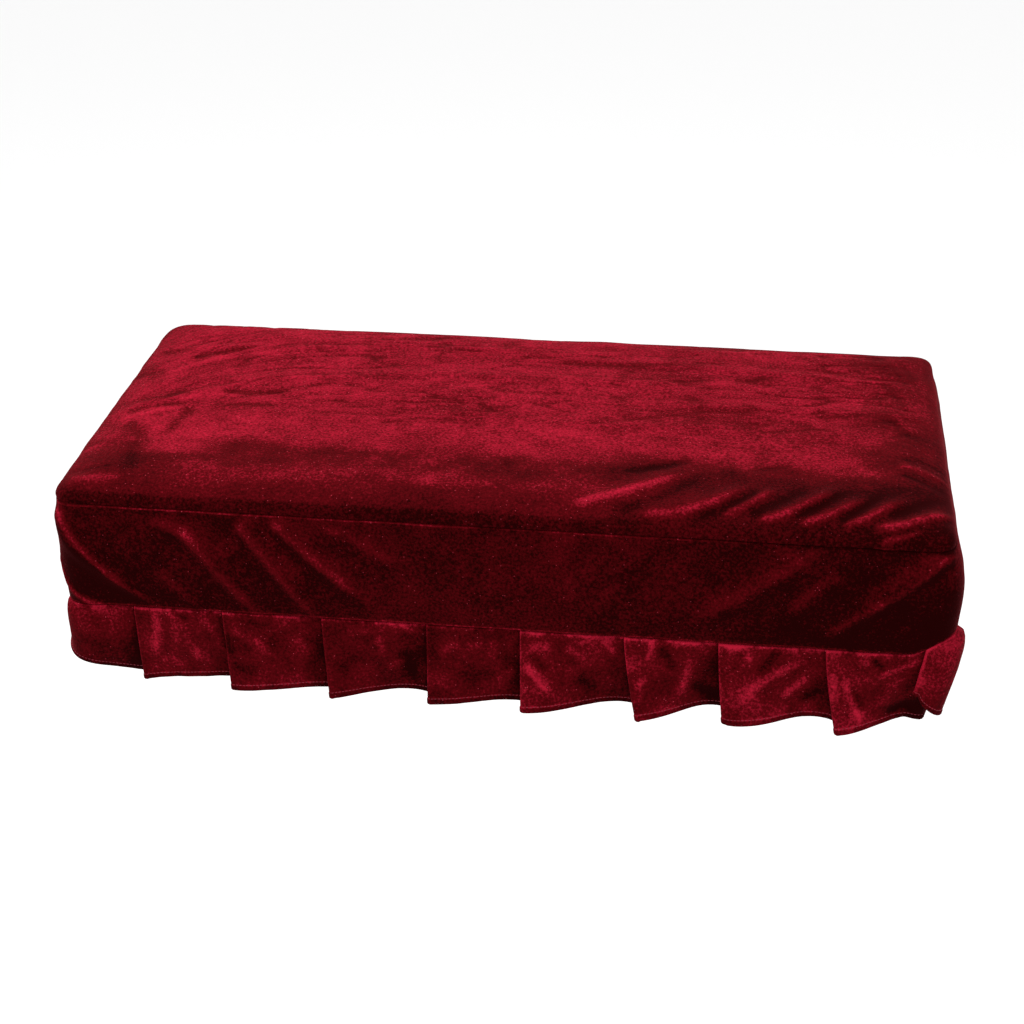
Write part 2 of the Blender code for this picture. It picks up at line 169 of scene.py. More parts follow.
# Pleats of the front, from the left corner to the right corner. Columns: where the outer fold
# leaves the seam; how far it leans to the right at the hem; how late it opens on the way down;
# how far it bows out a quarter of the way down; how far its tail runs on behind the next pleat;
# how far the hem stands out of the lower seam's line at the fold, a third and two thirds along
# the face, and at its far end; and how far the hem rises at those four places
FRONT_PLEATS = (
    (-0.405, 0.002, 3.00, 0.005, 0.010, 0.008, 0.002, -0.009, -0.012, 0.026, 0.017, 0.007, 0.003),
    (-0.319, 0.001, 1.35, 0.001, 0.010, -0.004, -0.008, -0.010, -0.012, -0.002, 0.000, 0.002, 0.003),
    (-0.240, 0.004, 1.35, 0.001, 0.010, 0.004, 0.004, -0.001, -0.005, -0.002, 0.000, 0.002, 0.003),
    (-0.152, 0.005, 1.35, 0.001, 0.010, 0.007, -0.001, -0.009, -0.005, -0.002, 0.000, 0.002, 0.003),
    (-0.060, 0.000, 1.35, 0.001, 0.010, 0.007, 0.004, -0.001, -0.002, -0.002, 0.000, 0.002, 0.003),
    (0.021, 0.001, 1.35, 0.001, 0.010, 0.010, 0.004, -0.008, -0.008, -0.002, 0.000, 0.002, 0.003),
    (0.110, 0.012, 1.35, 0.001, 0.010, 0.013, 0.001, -0.012, -0.014, -0.002, 0.000, 0.002, 0.003),
    (0.190, 0.006, 1.35, 0.001, 0.010, 0.007, 0.006, -0.008, -0.003, -0.002, 0.000, 0.002, 0.003),
    (0.280, 0.012, 1.35, 0.001, 0.030, 0.011, 0.001, -0.015, -0.018, -0.002, 0.000, 0.002, 0.003),
    (0.362, -0.008, 1.00, 0.012, 0.010, 0.004, -0.012, -0.036, -0.012, 0.040, 0.010, 0.006, 0.003),
)
# How light each of these pleats is beside the rest
PLEAT_TONES = (0.02, 0.08, -0.02, -0.05, -0.05, 0.05, 0.02, 0.09, 0.04, 0.10)
# The pleat that folds over the right front corner and carries none of the listed creases
FLAP = 9
OTHER_PLEATS = 16
OTHER_RISES = (-0.002, 0.000, 0.002, 0.003)
OTHER_SHAPE = (1.35, 0.001, 0.010)
PLEAT_SEED = 5

# Creases on the top and the tone painted along them, in the columns of RIM_FOLDS,
# but with a change of tone in place of the height: a dark one is painted shade in a trough, a light one
# a painted highlight on a ridge
TOP_CREASES = (
    (-0.330, 0.262, -0.307, 0.280, -0.274, 0.295, -0.26, 0.0055),
    (-0.346, 0.221, -0.316, 0.255, -0.272, 0.280, 0.14, 0.0050),
    (-0.276, 0.280, -0.259, 0.280, -0.232, 0.272, 0.10, 0.0050),
    (-0.380, 0.241, -0.363, 0.235, -0.343, 0.244, -0.17, 0.0050),
    (-0.370, 0.288, -0.347, 0.283, -0.326, 0.294, -0.15, 0.0060),
    (-0.354, 0.171, -0.330, 0.176, -0.300, 0.193, -0.20, 0.0045),
    (-0.285, 0.193, -0.250, 0.190, -0.210, 0.196, -0.25, 0.0050),
    (-0.320, 0.168, -0.290, 0.182, -0.255, 0.185, 0.14, 0.0045),
    (-0.360, 0.143, -0.330, 0.157, -0.284, 0.169, -0.20, 0.0045),
    (-0.360, 0.129, -0.334, 0.143, -0.295, 0.160, 0.16, 0.0045),
    (-0.286, 0.165, -0.247, 0.162, -0.210, 0.168, -0.16, 0.0045),
    (-0.300, 0.162, -0.304, 0.126, -0.312, 0.082, -0.21, 0.0055),
    (-0.353, 0.122, -0.334, 0.106, -0.319, 0.080, -0.19, 0.0075),
    (-0.332, 0.090, -0.327, 0.056, -0.320, 0.026, -0.26, 0.0090),
    (-0.379, 0.040, -0.355, 0.034, -0.330, 0.044, -0.18, 0.0050),
    (-0.374, 0.021, -0.345, 0.019, -0.322, 0.026, 0.28, 0.0050),
    (-0.381, 0.080, -0.361, 0.084, -0.348, 0.118, 0.14, 0.0055),
    (-0.120, 0.030, -0.060, 0.026, 0.000, 0.030, -0.10, 0.0060),
    (0.056, 0.015, 0.111, 0.040, 0.165, 0.081, 0.43, 0.0045),
    (0.100, 0.069, 0.132, 0.082, 0.162, 0.102, -0.34, 0.0060),
    (0.092, 0.013, 0.136, 0.035, 0.176, 0.077, -0.25, 0.0065),
    (0.112, 0.012, 0.168, 0.022, 0.212, 0.062, 0.45, 0.0042),
    (0.160, 0.012, 0.196, 0.028, 0.219, 0.058, -0.28, 0.0055),
    (0.186, 0.015, 0.210, 0.030, 0.232, 0.058, 0.44, 0.0035),
    (0.206, 0.016, 0.234, 0.034, 0.262, 0.070, -0.28, 0.0060),
    (0.212, 0.011, 0.250, 0.027, 0.285, 0.064, 0.51, 0.0039),
    (0.244, 0.015, 0.270, 0.036, 0.294, 0.066, -0.28, 0.0050),
    (0.247, 0.010, 0.276, 0.022, 0.308, 0.052, 0.48, 0.0035),
    (0.280, 0.014, 0.301, 0.032, 0.324, 0.064, -0.28, 0.0050),
    (0.284, 0.011, 0.307, 0.022, 0.340, 0.053, 0.48, 0.0037),
    (0.318, 0.022, 0.346, 0.041, 0.374, 0.072, -0.28, 0.0060),
    (0.308, 0.012, 0.344, 0.019, 0.386, 0.052, 0.58, 0.0039),
    (0.314, 0.001, 0.332, 0.004, 0.352, 0.011, 0.46, 0.0019),
    (0.206, 0.083, 0.222, 0.089, 0.246, 0.099, -0.20, 0.0035),
    (0.050, 0.149, 0.125, 0.176, 0.200, 0.206, -0.16, 0.0035),
    (-0.126, 0.136, -0.102, 0.143, -0.078, 0.152, -0.14, 0.0035),
    (0.040, 0.285, 0.119, 0.291, 0.200, 0.312, -0.12, 0.0038),
    (0.187, 0.262, 0.205, 0.269, 0.231, 0.278, -0.16, 0.0038),
    (0.260, 0.195, 0.293, 0.202, 0.322, 0.211, -0.15, 0.0035),
    (0.207, 0.156, 0.245, 0.165, 0.288, 0.174, -0.15, 0.0035),
    (0.330, 0.114, 0.355, 0.106, 0.377, 0.094, 0.34, 0.0038),
    (0.330, 0.097, 0.353, 0.087, 0.375, 0.073, -0.24, 0.0042),
    (0.333, 0.127, 0.358, 0.123, 0.380, 0.116, -0.15, 0.0042),
    (0.328, 0.334, 0.343, 0.302, 0.355, 0.248, -0.14, 0.0035),
    (0.343, 0.340, 0.353, 0.302, 0.363, 0.250, -0.12, 0.0035),
    (0.322, 0.284, 0.337, 0.255, 0.349, 0.214, -0.14, 0.0035),
    (0.325, 0.204, 0.337, 0.188, 0.350, 0.162, -0.15, 0.0040),
    (0.331, 0.214, 0.343, 0.196, 0.355, 0.172, 0.18, 0.0040),
)

# The same for the band, in the columns of BAND_FOLDS
BAND_CREASES = (
    (-0.378, -0.004, -0.346, 0.058, -0.284, 0.104, 0.50, 0.0028),
    (-0.372, 0.012, -0.338, 0.070, -0.292, 0.099, -0.12, 0.0050),
    (-0.382, 0.046, -0.371, 0.088, -0.336, 0.099, 0.60, 0.0026),
    (-0.300, 0.012, -0.275, 0.019, -0.254, 0.032, 0.18, 0.0050),
    (-0.272, 0.012, -0.243, 0.056, -0.198, 0.112, 0.36, 0.0055),
    (-0.292, 0.056, -0.275, 0.082, -0.251, 0.097, 0.18, 0.0055),
    (-0.222, 0.006, -0.194, 0.049, -0.145, 0.115, 0.40, 0.0048),
    (-0.194, 0.002, -0.164, 0.033, -0.108, 0.082, 0.34, 0.0045),
    (-0.152, 0.008, -0.110, 0.026, -0.072, 0.052, 0.16, 0.0050),
    (0.049, 0.020, 0.060, 0.045, 0.066, 0.080, 0.10, 0.0070),
    (-0.015, 0.012, -0.006, 0.040, -0.009, 0.078, 0.08, 0.0080),
    (0.374, 0.000, 0.344, 0.032, 0.302, 0.065, 0.40, 0.0040),
    (0.326, 0.046, 0.301, 0.067, 0.272, 0.091, 0.30, 0.0045),
    (0.274, 0.000, 0.222, 0.039, 0.145, 0.092, 0.20, 0.0055),
    (0.286, 0.024, 0.262, 0.047, 0.240, 0.077, 0.16, 0.0060),
    (0.372, 0.052, 0.350, 0.066, 0.326, 0.088, 0.12, 0.0060),
)

# The same for the ruffle's front, down from the lower seam
RUFFLE_CREASES = (
    (-0.303, 0.001, -0.300, 0.027, -0.308, 0.056, 0.30, 0.0038),
    (-0.286, 0.001, -0.284, 0.020, -0.283, 0.049, 0.24, 0.0040),
    (-0.288, 0.001, -0.278, 0.006, -0.269, 0.013, -0.26, 0.0028),
    (-0.263, 0.002, -0.252, 0.024, -0.246, 0.052, 0.26, 0.0038),
    (-0.278, 0.010, -0.272, 0.038, -0.263, 0.063, 0.22, 0.0042),
    (-0.239, 0.020, -0.237, 0.035, -0.234, 0.045, -0.24, 0.0045),
    (-0.306, 0.063, -0.289, 0.059, -0.271, 0.068, 0.10, 0.0060),
    (-0.233, 0.017, -0.219, 0.024, -0.205, 0.024, 0.24, 0.0040),
    (-0.212, 0.024, -0.204, 0.035, -0.196, 0.045, 0.24, 0.0040),
    (-0.179, 0.020, -0.169, 0.031, -0.162, 0.038, 0.18, 0.0045),
    (-0.225, 0.001, -0.210, 0.010, -0.192, 0.010, -0.18, 0.0045),
    (-0.236, 0.049, -0.221, 0.056, -0.205, 0.059, -0.20, 0.0050),
    (-0.131, 0.013, -0.116, 0.010, -0.104, 0.013, 0.22, 0.0042),
    (-0.087, 0.001, -0.077, 0.006, -0.070, 0.013, 0.22, 0.0035),
    (-0.104, 0.013, -0.101, 0.027, -0.103, 0.042, 0.24, 0.0038),
    (-0.098, 0.052, -0.088, 0.045, -0.077, 0.038, 0.24, 0.0042),
    (-0.084, 0.027, -0.077, 0.049, -0.076, 0.071, -0.34, 0.0065),
    (-0.140, 0.052, -0.127, 0.042, -0.113, 0.038, -0.16, 0.0050),
    (-0.026, 0.020, -0.018, 0.017, -0.009, 0.017, 0.20, 0.0042),
    (-0.003, 0.010, -0.003, 0.024, -0.004, 0.038, 0.24, 0.0040),
    (0.002, 0.067, 0.009, 0.052, 0.015, 0.038, 0.20, 0.0042),
    (-0.052, 0.027, -0.041, 0.020, -0.031, 0.013, 0.18, 0.0045),
    (-0.026, 0.063, -0.011, 0.049, 0.004, 0.056, -0.22, 0.0065),
    (0.030, 0.017, 0.039, 0.013, 0.051, 0.013, 0.22, 0.0040),
    (0.058, 0.013, 0.068, 0.020, 0.079, 0.027, 0.24, 0.0040),
    (0.091, 0.003, 0.097, 0.013, 0.103, 0.027, 0.22, 0.0035),
    (0.023, 0.031, 0.036, 0.045, 0.050, 0.063, 0.34, 0.0036),
    (0.027, 0.020, 0.038, 0.031, 0.048, 0.038, -0.26, 0.0040),
    (0.068, 0.045, 0.077, 0.052, 0.089, 0.067, -0.24, 0.0060),
    (0.133, 0.001, 0.133, 0.010, 0.129, 0.027, 0.34, 0.0034),
    (0.126, 0.035, 0.124, 0.049, 0.125, 0.063, 0.26, 0.0036),
    (0.167, 0.017, 0.162, 0.042, 0.154, 0.067, 0.38, 0.0045),
    (0.150, 0.006, 0.164, 0.002, 0.182, 0.006, 0.24, 0.0030),
    (0.141, 0.006, 0.147, 0.020, 0.153, 0.035, -0.30, 0.0045),
    (0.168, 0.045, 0.180, 0.059, 0.194, 0.056, -0.34, 0.0055),
    (0.117, 0.045, 0.125, 0.042, 0.134, 0.035, 0.22, 0.0038),
    (0.196, 0.006, 0.203, 0.003, 0.211, 0.006, 0.30, 0.0034),
    (0.211, 0.010, 0.216, 0.013, 0.223, 0.017, 0.24, 0.0036),
    (0.204, 0.010, 0.208, 0.010, 0.213, 0.013, -0.22, 0.0035),
    (0.239, 0.001, 0.233, 0.013, 0.222, 0.031, -0.30, 0.0042),
    (0.208, 0.056, 0.239, 0.027, 0.271, 0.013, 0.36, 0.0040),
    (0.242, 0.052, 0.256, 0.042, 0.270, 0.024, 0.26, 0.0036),
    (0.259, 0.059, 0.270, 0.052, 0.280, 0.042, -0.30, 0.0045),
    (0.285, 0.020, 0.288, 0.035, 0.289, 0.052, 0.26, 0.0032),
    (0.306, 0.013, 0.312, 0.010, 0.321, 0.010, 0.32, 0.0034),
    (0.316, 0.006, 0.324, 0.013, 0.331, 0.017, -0.30, 0.0040),
    (0.310, 0.002, 0.316, 0.002, 0.325, 0.002, 0.22, 0.0028),
    (0.295, 0.024, 0.306, 0.052, 0.315, 0.071, 0.38, 0.0034),
    (0.300, 0.031, 0.308, 0.049, 0.316, 0.059, -0.30, 0.0036),
    (0.329, 0.059, 0.336, 0.038, 0.346, 0.020, 0.30, 0.0065),
    (0.323, 0.027, 0.348, 0.013, 0.367, 0.013, 0.36, 0.0024),
    (0.331, 0.067, 0.355, 0.059, 0.361, 0.052, -0.55, 0.0055),
    (0.357, 0.068, 0.368, 0.056, 0.364, 0.052, -0.50, 0.0055),
)
# How high a crease stands for a change of tone of one
CREASE_RELIEF = 0.0030

# Tone of the nap, from 0 to 1, with the top painted lighter than the band and the ruffle as painted
# light, and how much painted shade the top gets towards each side, with the inset at which that starts
TOP_TONE_LIT = 0.66
BAND_TONE_SHADED = 0.15
RUFFLE_TONE_SHADED = 0.35
FRONT_PAINTED_SHADE = 0.38
RIGHT_PAINTED_SHADE = 0.15
LEFT_PAINTED_SHADE = 0.13
BACK_PAINTED_SHADE = 0.16
FRONT_PAINTED_SHADE_INSET = 0.098
RIGHT_PAINTED_SHADE_INSET = 0.105
LEFT_PAINTED_SHADE_INSET = 0.050
BACK_PAINTED_SHADE_INSET = 0.028

# The nap: strength of its speckle and of its clouds, and how rare the painted sparkles are, small
# bright specks of painted highlight
SPECKLE = 1.25
CLOUDS = 0.35
PAINTED_GLINT_RARITY = 0.985

# The photograph's camera: plain lens and place, turned round each axis
LENS = 69.05
CAMERA_PLACE = (0.201, -1.603, 0.7596)
CAMERA_AZIMUTH = 7.51
CAMERA_ELEVATION = 28.29
CAMERA_ROLL = -0.38
FLOOR_DROP = 0.90


def smooth_step(t):
    """Cubic ease from 0 to 1: t squared times 3 minus 2 t, with t held between 0 and 1."""
    t = np.clip(t, 0.0, 1.0)
    return t * t * (3.0 - 2.0 * t)


def soft_noise(u, v, period, seed):
    """Seeded noise from -1 to 1: random heights at whole numbers of u and v, eased between them.

    It repeats after the given whole number of cells along u, so it closes round the cover.
    """
    heights = np.random.default_rng(seed).uniform(-1.0, 1.0, (period, 127))
    low_u = np.floor(u).astype(int)
    low_v = np.floor(v).astype(int)
    share_u = smooth_step(u - low_u)
    share_v = smooth_step(v - low_v)
    near = heights[low_u % period, low_v % 127] * (1.0 - share_v)
    near = near + heights[low_u % period, (low_v + 1) % 127] * share_v
    far = heights[(low_u + 1) % period, low_v % 127] * (1.0 - share_v)
    far = far + heights[(low_u + 1) % period, (low_v + 1) % 127] * share_v
    return near * (1.0 - share_u) + far * share_u


def top_noise(x, y, cell, seed):
    """Seeded noise over the top, in cells of one size, too wide to repeat on it."""
    return soft_noise(x / cell[0] + 50.0, y / cell[1] + 60.0, 211, seed)


def round_noise(along, down, cell, seed):
    """Seeded noise over the sides, in cells of one size, closed round the outline."""
    period = max(2, round(OUTLINE_LENGTH / cell[0]))
    return soft_noise(along / OUTLINE_LENGTH * period, down / cell[1] + 40.0, period, seed)


def corner_reach(across, along):
    """How far a corner direction reaches on a superellipse of unit half axes."""
    power = np.where((across > 0.0) & (along > 0.0), BACK_RIGHT_POWER, CORNER_POWER)
    return (np.abs(across) ** power + np.abs(along) ** power) ** (1.0 / power)


def corner_arc(side, end):
    """One corner of the plan, from the short side to the long side; each sign picks a side."""
    turn = np.linspace(0.0, np.pi / 2, CORNER_POINTS)
    bend = np.stack([side * np.cos(turn), end * np.sin(turn)], axis=1)
    reach = corner_reach(bend[:, 0], bend[:, 1])
    middle = np.array([side * (HALF_LENGTH - RIM_WIDTH), end * (HALF_DEPTH - RIM_WIDTH)])
    return middle + RIM_WIDTH * bend / reach[:, None]


def outline_points():
    """The plan of the upper seam: a rectangle with superellipse corners, from the front's middle."""
    start = np.array([[0.0, -HALF_DEPTH]])
    right = [corner_arc(1, -1)[::-1], corner_arc(1, 1)]
    left = [corner_arc(-1, 1)[::-1], corner_arc(-1, -1)]
    return np.concatenate([start, *right, *left, start])


OUTLINE = outline_points()
OUTLINE_STEPS = np.linalg.norm(np.diff(OUTLINE, axis=0), axis=1)
OUTLINE_ALONG = np.concatenate([[0.0], np.cumsum(OUTLINE_STEPS)])
OUTLINE_LENGTH = OUTLINE_ALONG[-1]
FRONT_CORNER = OUTLINE_ALONG[1 + CORNER_POINTS // 2]


def outline(along):
    """The point of the upper seam's plan at a distance along it."""
    along = np.mod(along, OUTLINE_LENGTH)
    x = np.interp(along, OUTLINE_ALONG, OUTLINE[:, 0])
    y = np.interp(along, OUTLINE_ALONG, OUTLINE[:, 1])
    return np.stack([x, y], axis=-1)


def outward(along, reach):
    """The outward direction in plan, averaged over a stretch of the outline on each side."""
    ahead = outline(along + reach) - outline(along - reach)
    ahead /= np.linalg.norm(ahead, axis=-1, keepdims=True)
    return np.stack([ahead[..., 1], -ahead[..., 0]], axis=-1)


def from_front(along):
    """The same place measured the shorter way from the front's middle, so it is negative leftwards."""
    return np.mod(along + OUTLINE_LENGTH / 2, OUTLINE_LENGTH) - OUTLINE_LENGTH / 2


def near_end(x, side):
    """Grows from 0 to 1 over the last stretch of the length, on the right (1) or left (-1)."""
    return smooth_step((side * x - HALF_LENGTH + END_BLEND) / END_BLEND)


def end_stand(x, down):
    """How far the ends stand out: the left from its seam down, the right bulging below it."""
    left = (LEFT_SWELL + LEFT_BULGE * down) * near_end(x, -1)
    right = (RIGHT_SWELL + RIGHT_BULGE * (1.0 - (1.0 - down) ** 4)) * near_end(x, 1)
    return left + right


def ridges(across, down, table):
    """Soft ridges along quadratic curves: a bell across each curve, faded at both of its ends."""
    height = np.zeros_like(across)
    for row in table:
        start, middle, end = np.reshape(row[:6], (3, 2))
        top, half_width = row[6:]
        pull = 2 * middle - (start + end) / 2
        best = np.full_like(across, np.inf)
        place = np.zeros_like(across)
        for t in np.linspace(0.0, 1.0, 41):
            point = (1 - t) ** 2 * start + 2 * t * (1 - t) * pull + t**2 * end
            distance = np.hypot(across - point[0], down - point[1])
            closer = distance < best
            best = np.where(closer, distance, best)
            place = np.where(closer, t, place)
        fade = smooth_step(place / 0.15) * smooth_step((1.0 - place) / 0.3)
        height += top * fade * np.exp(-((best / half_width) ** 2))
    return height


def wrinkle_height(x, y):
    """Long shallow ridges over the top: each a slanted bell, faded along its length."""
    height = np.zeros_like(x)
    for middle_x, middle_y, half_length, slant, top, half_width in TOP_WRINKLES:
        run = (x - middle_x) / half_length
        rise = (y - middle_y - slant * (x - middle_x)) / half_width
        height += top * np.exp(-(run**2) - rise**2)
    return height


def lower_seam(along):
    """The height of the lower seam, drawn up at the right front corner."""
    table = np.array(SEAM_RISES)
    return LOWER_SEAM_Z + np.interp(from_front(along), table[:, 0], table[:, 1])


def grid_normals(points, wraps):
    """Unit normals of a grid: the cross product of its two directions, turned outwards on the whole."""
    down = np.gradient(points, axis=0)
    if wraps:
        across = np.roll(points, -1, axis=1) - np.roll(points, 1, axis=1)
    else:
        across = np.gradient(points, axis=1)
    normal = np.cross(across, down)
    normal /= np.maximum(np.linalg.norm(normal, axis=-1, keepdims=True), 1e-12)
    middle = np.array([0.0, 0.0, LOWER_SEAM_Z])
    return normal * np.sign(np.sum(normal * (points - middle)))


def grid_faces(index, wraps):
    """Four-cornered faces between neighbouring rows and columns of a grid of vertex numbers."""
    right = np.roll(index, -1, axis=1) if wraps else index[:, 1:]
    left = index if wraps else index[:, :-1]
    corners = (left[:-1], left[1:], right[1:], right[:-1])
    return np.stack([corner.ravel() for corner in corners], axis=1)


def edge_strips(index, wraps, step):
    """Faces that close a sheet round its free edges, from one skin's numbers to the other's."""
    paths = [index[0], index[-1, ::-1]]
    if wraps:
        paths = [np.append(path, path[0]) for path in paths]
    else:
        paths += [index[::-1, 0], index[:, -1]]
    strips = [np.stack([p[:-1], p[1:], p[1:] + step, p[:-1] + step], axis=1) for p in paths]
    return np.concatenate(strips)


def cloth_sheet(name, outer, inner, wraps, pile_and_painted_light, finishes):
    """A closed sheet between two grids of points, with a vertex value for the tone of its nap and the
    painted light and shade on it.

    The faces of the inner skin take the second finish, which is the back of the cloth.
    """
    rows, columns = outer.shape[:2]
    count = rows * columns
    index = np.arange(count).reshape(rows, columns)
    front = grid_faces(index, wraps)
    back = front[:, ::-1] + count
    rim = edge_strips(index, wraps, count)
    faces = np.concatenate([front, back, rim])
    points = np.concatenate([outer.reshape(-1, 3), inner.reshape(-1, 3)])
    mesh = bpy.data.meshes.new(name)
    mesh.from_pydata(points.tolist(), [], faces.tolist())
    sides = np.zeros(len(faces), dtype=np.int32)
    sides[len(front) : len(front) + len(back)] = 1
    mesh.polygons.foreach_set("material_index", sides)
    # The vertex value mixes the nap's own uneven tone with painted light and painted shade.
    lies = mesh.attributes.new("pile_and_painted_light", "FLOAT", "POINT")
    lies.data.foreach_set("value", np.concatenate([pile_and_painted_light.ravel(), pile_and_painted_light.ravel()]).astype(np.float32))
    shell = bmesh.new()
    shell.from_mesh(mesh)
    if shell.calc_volume(signed=True) < 0:
        bmesh.ops.reverse_faces(shell, faces=shell.faces[:])
        shell.to_mesh(mesh)
    shell.free()
    mesh.shade_smooth()
    mesh.set_sharp_from_angle(angle=np.radians(60.0))
    for finish in finishes:
        mesh.materials.append(finish)
    item = bpy.data.objects.new(name, mesh)
    bpy.context.scene.collection.objects.link(item)
    return item


def top_grid():
    """Lines of the top: a flat part between two rims, each rim ending in a short rolled lip."""
    rim = np.concatenate([np.linspace(0.0, 1.0, 26), np.linspace(1.0, 1.2, 5)[1:]])
    flat_x = np.linspace(-1.0, 1.0, 231)
    flat_y = np.linspace(-1.0, 1.0, 97)
    ends = np.ones(len(rim) - 1)
    share_x = np.concatenate([-rim[::-1], np.zeros(len(flat_x) - 2), rim])
    share_y = np.concatenate([-rim[::-1], np.zeros(len(flat_y) - 2), rim])
    place_x = np.concatenate([-ends, flat_x, ends])
    place_y = np.concatenate([-ends, flat_y, ends])
    return (*np.meshgrid(share_x, share_y), *np.meshgrid(place_x, place_y))


def fine_wrinkles(x, y):
    """Fine long creases, as heights, with a change of tone painted along them: painted shade in the
    troughs and painted highlights on the borders beside them.

    They are narrow troughs where stretched noise passes through zero. They run along the length,
    fan upwards towards the left end and fade out before the front rim.
    """
    bow = 0.54 * np.maximum(-0.16 - x, 0.0) ** 2 / 0.2
    drawn = np.abs(top_noise(x, y + bow, (0.060, 0.0085), 11))
    shorter = np.abs(top_noise(x, y + bow, (0.036, 0.0062), 12))
    strength = 0.60 + 0.40 * top_noise(x, y, (0.11, 0.05), 13)
    strength = strength * smooth_step((y + 0.10) / 0.10) * smooth_step((0.375 - np.abs(x)) / 0.04)
    long_ones = (1.0 - drawn) ** 6
    short_ones = (1.0 - shorter) ** 7
    wrinkle_highlight = np.exp(-(((drawn - 0.32) / 0.12) ** 2))
    height = -strength * (0.0013 * long_ones + 0.0008 * short_ones)
    # Painted shade in the wrinkle troughs and painted highlights on the borders beside them.
    tone = strength * (0.07 * wrinkle_highlight - 0.24 * long_ones - 0.15 * short_ones)
    return height, tone


def top_nap_and_painted_shade(x, y, share_x, share_y):
    """Tone of the top's nap with painted light and shade: painted light on the flat, painted shade
    where each side starts to turn down.

    The painted shade begins further in along the front than along the other sides, and its boundary
    wanders.
    """
    share = np.maximum(np.abs(share_x), np.abs(share_y))
    ragged = 0.015 * top_noise(x, y, (0.060, 0.030), 17)
    ragged = ragged + 0.010 * top_noise(x, y, (0.016, 0.010), 18)
    to_front = HALF_DEPTH + y + ragged
    to_right = HALF_LENGTH - x + ragged
    to_left = HALF_LENGTH + x + ragged
    # Painted shade on each side of the top where it starts to turn down, deepest along the front.
    front_start = FRONT_PAINTED_SHADE_INSET + 0.018 * smooth_step((x - 0.02) / 0.10)
    front = FRONT_PAINTED_SHADE + 0.12 * smooth_step((x - 0.12) / 0.15)
    front = front * smooth_step((front_start - to_front) / 0.050)
    near_share = smooth_step((0.060 - y) / 0.180)
    right = (RIGHT_PAINTED_SHADE + 0.29 * near_share) * smooth_step((RIGHT_PAINTED_SHADE_INSET - to_right) / 0.085)
    left = LEFT_PAINTED_SHADE * smooth_step((LEFT_PAINTED_SHADE_INSET - to_left) / 0.035)
    back = BACK_PAINTED_SHADE * smooth_step((BACK_PAINTED_SHADE_INSET - HALF_DEPTH + y) / 0.020)
    side_painted_shade = np.maximum(np.maximum(front, right), np.maximum(left, back))
    leftwards = smooth_step((0.16 - x) / 0.10)
    inset = HALF_DEPTH + y
    # A painted highlight strip along the front rim on the left, with a strip of painted shade behind
    # it.
    painted_highlight_strip = np.exp(-(((inset - 0.038) / 0.017) ** 2)) * leftwards * (1.0 + 18.0 * ragged)
    painted_highlight_strip = painted_highlight_strip * (0.25 + 0.75 * smooth_step((x + 0.31) / 0.07))
    painted_shade_strip = np.exp(-(((inset - 0.076) / 0.009) ** 2)) * leftwards * smooth_step((x + 0.24) / 0.06)
    # The top is also painted darker towards the right, as painted shade.
    pile_and_painted_light = TOP_TONE_LIT - 0.12 * x - side_painted_shade + 0.27 * painted_highlight_strip - 0.13 * painted_shade_strip
    # More painted shade near the seam, where the rim turns down.
    near_seam_shade = smooth_step((share - 0.66 + 0.16 * (1.0 - leftwards)) / 0.12)
    front_share = smooth_step((np.abs(share_y) - np.abs(share_x)) / 0.2) * (y < 0)
    pile_and_painted_light = pile_and_painted_light - (0.10 + (0.14 * leftwards - 0.04) * front_share) * near_seam_shade
    # Painted light and shade of ripples bunched near the right end.
    wander = 0.4 * top_noise(x, y, (0.02, 0.02), 20)
    ripple_shading = np.sin(2 * np.pi * ((inset + 0.44 * x) / 0.0105 + wander))
    bunch = smooth_step((x - 0.318) / 0.025) * np.exp(-(((inset - 0.125) / 0.050) ** 4))
    pile_and_painted_light = pile_and_painted_light + 0.09 * ripple_shading * bunch
    pile_and_painted_light = pile_and_painted_light + 0.05 * top_noise(x, y, (0.070, 0.050), 19)
    return pile_and_painted_light + 0.06 * top_noise(x, y, (0.045, 0.020), 16)


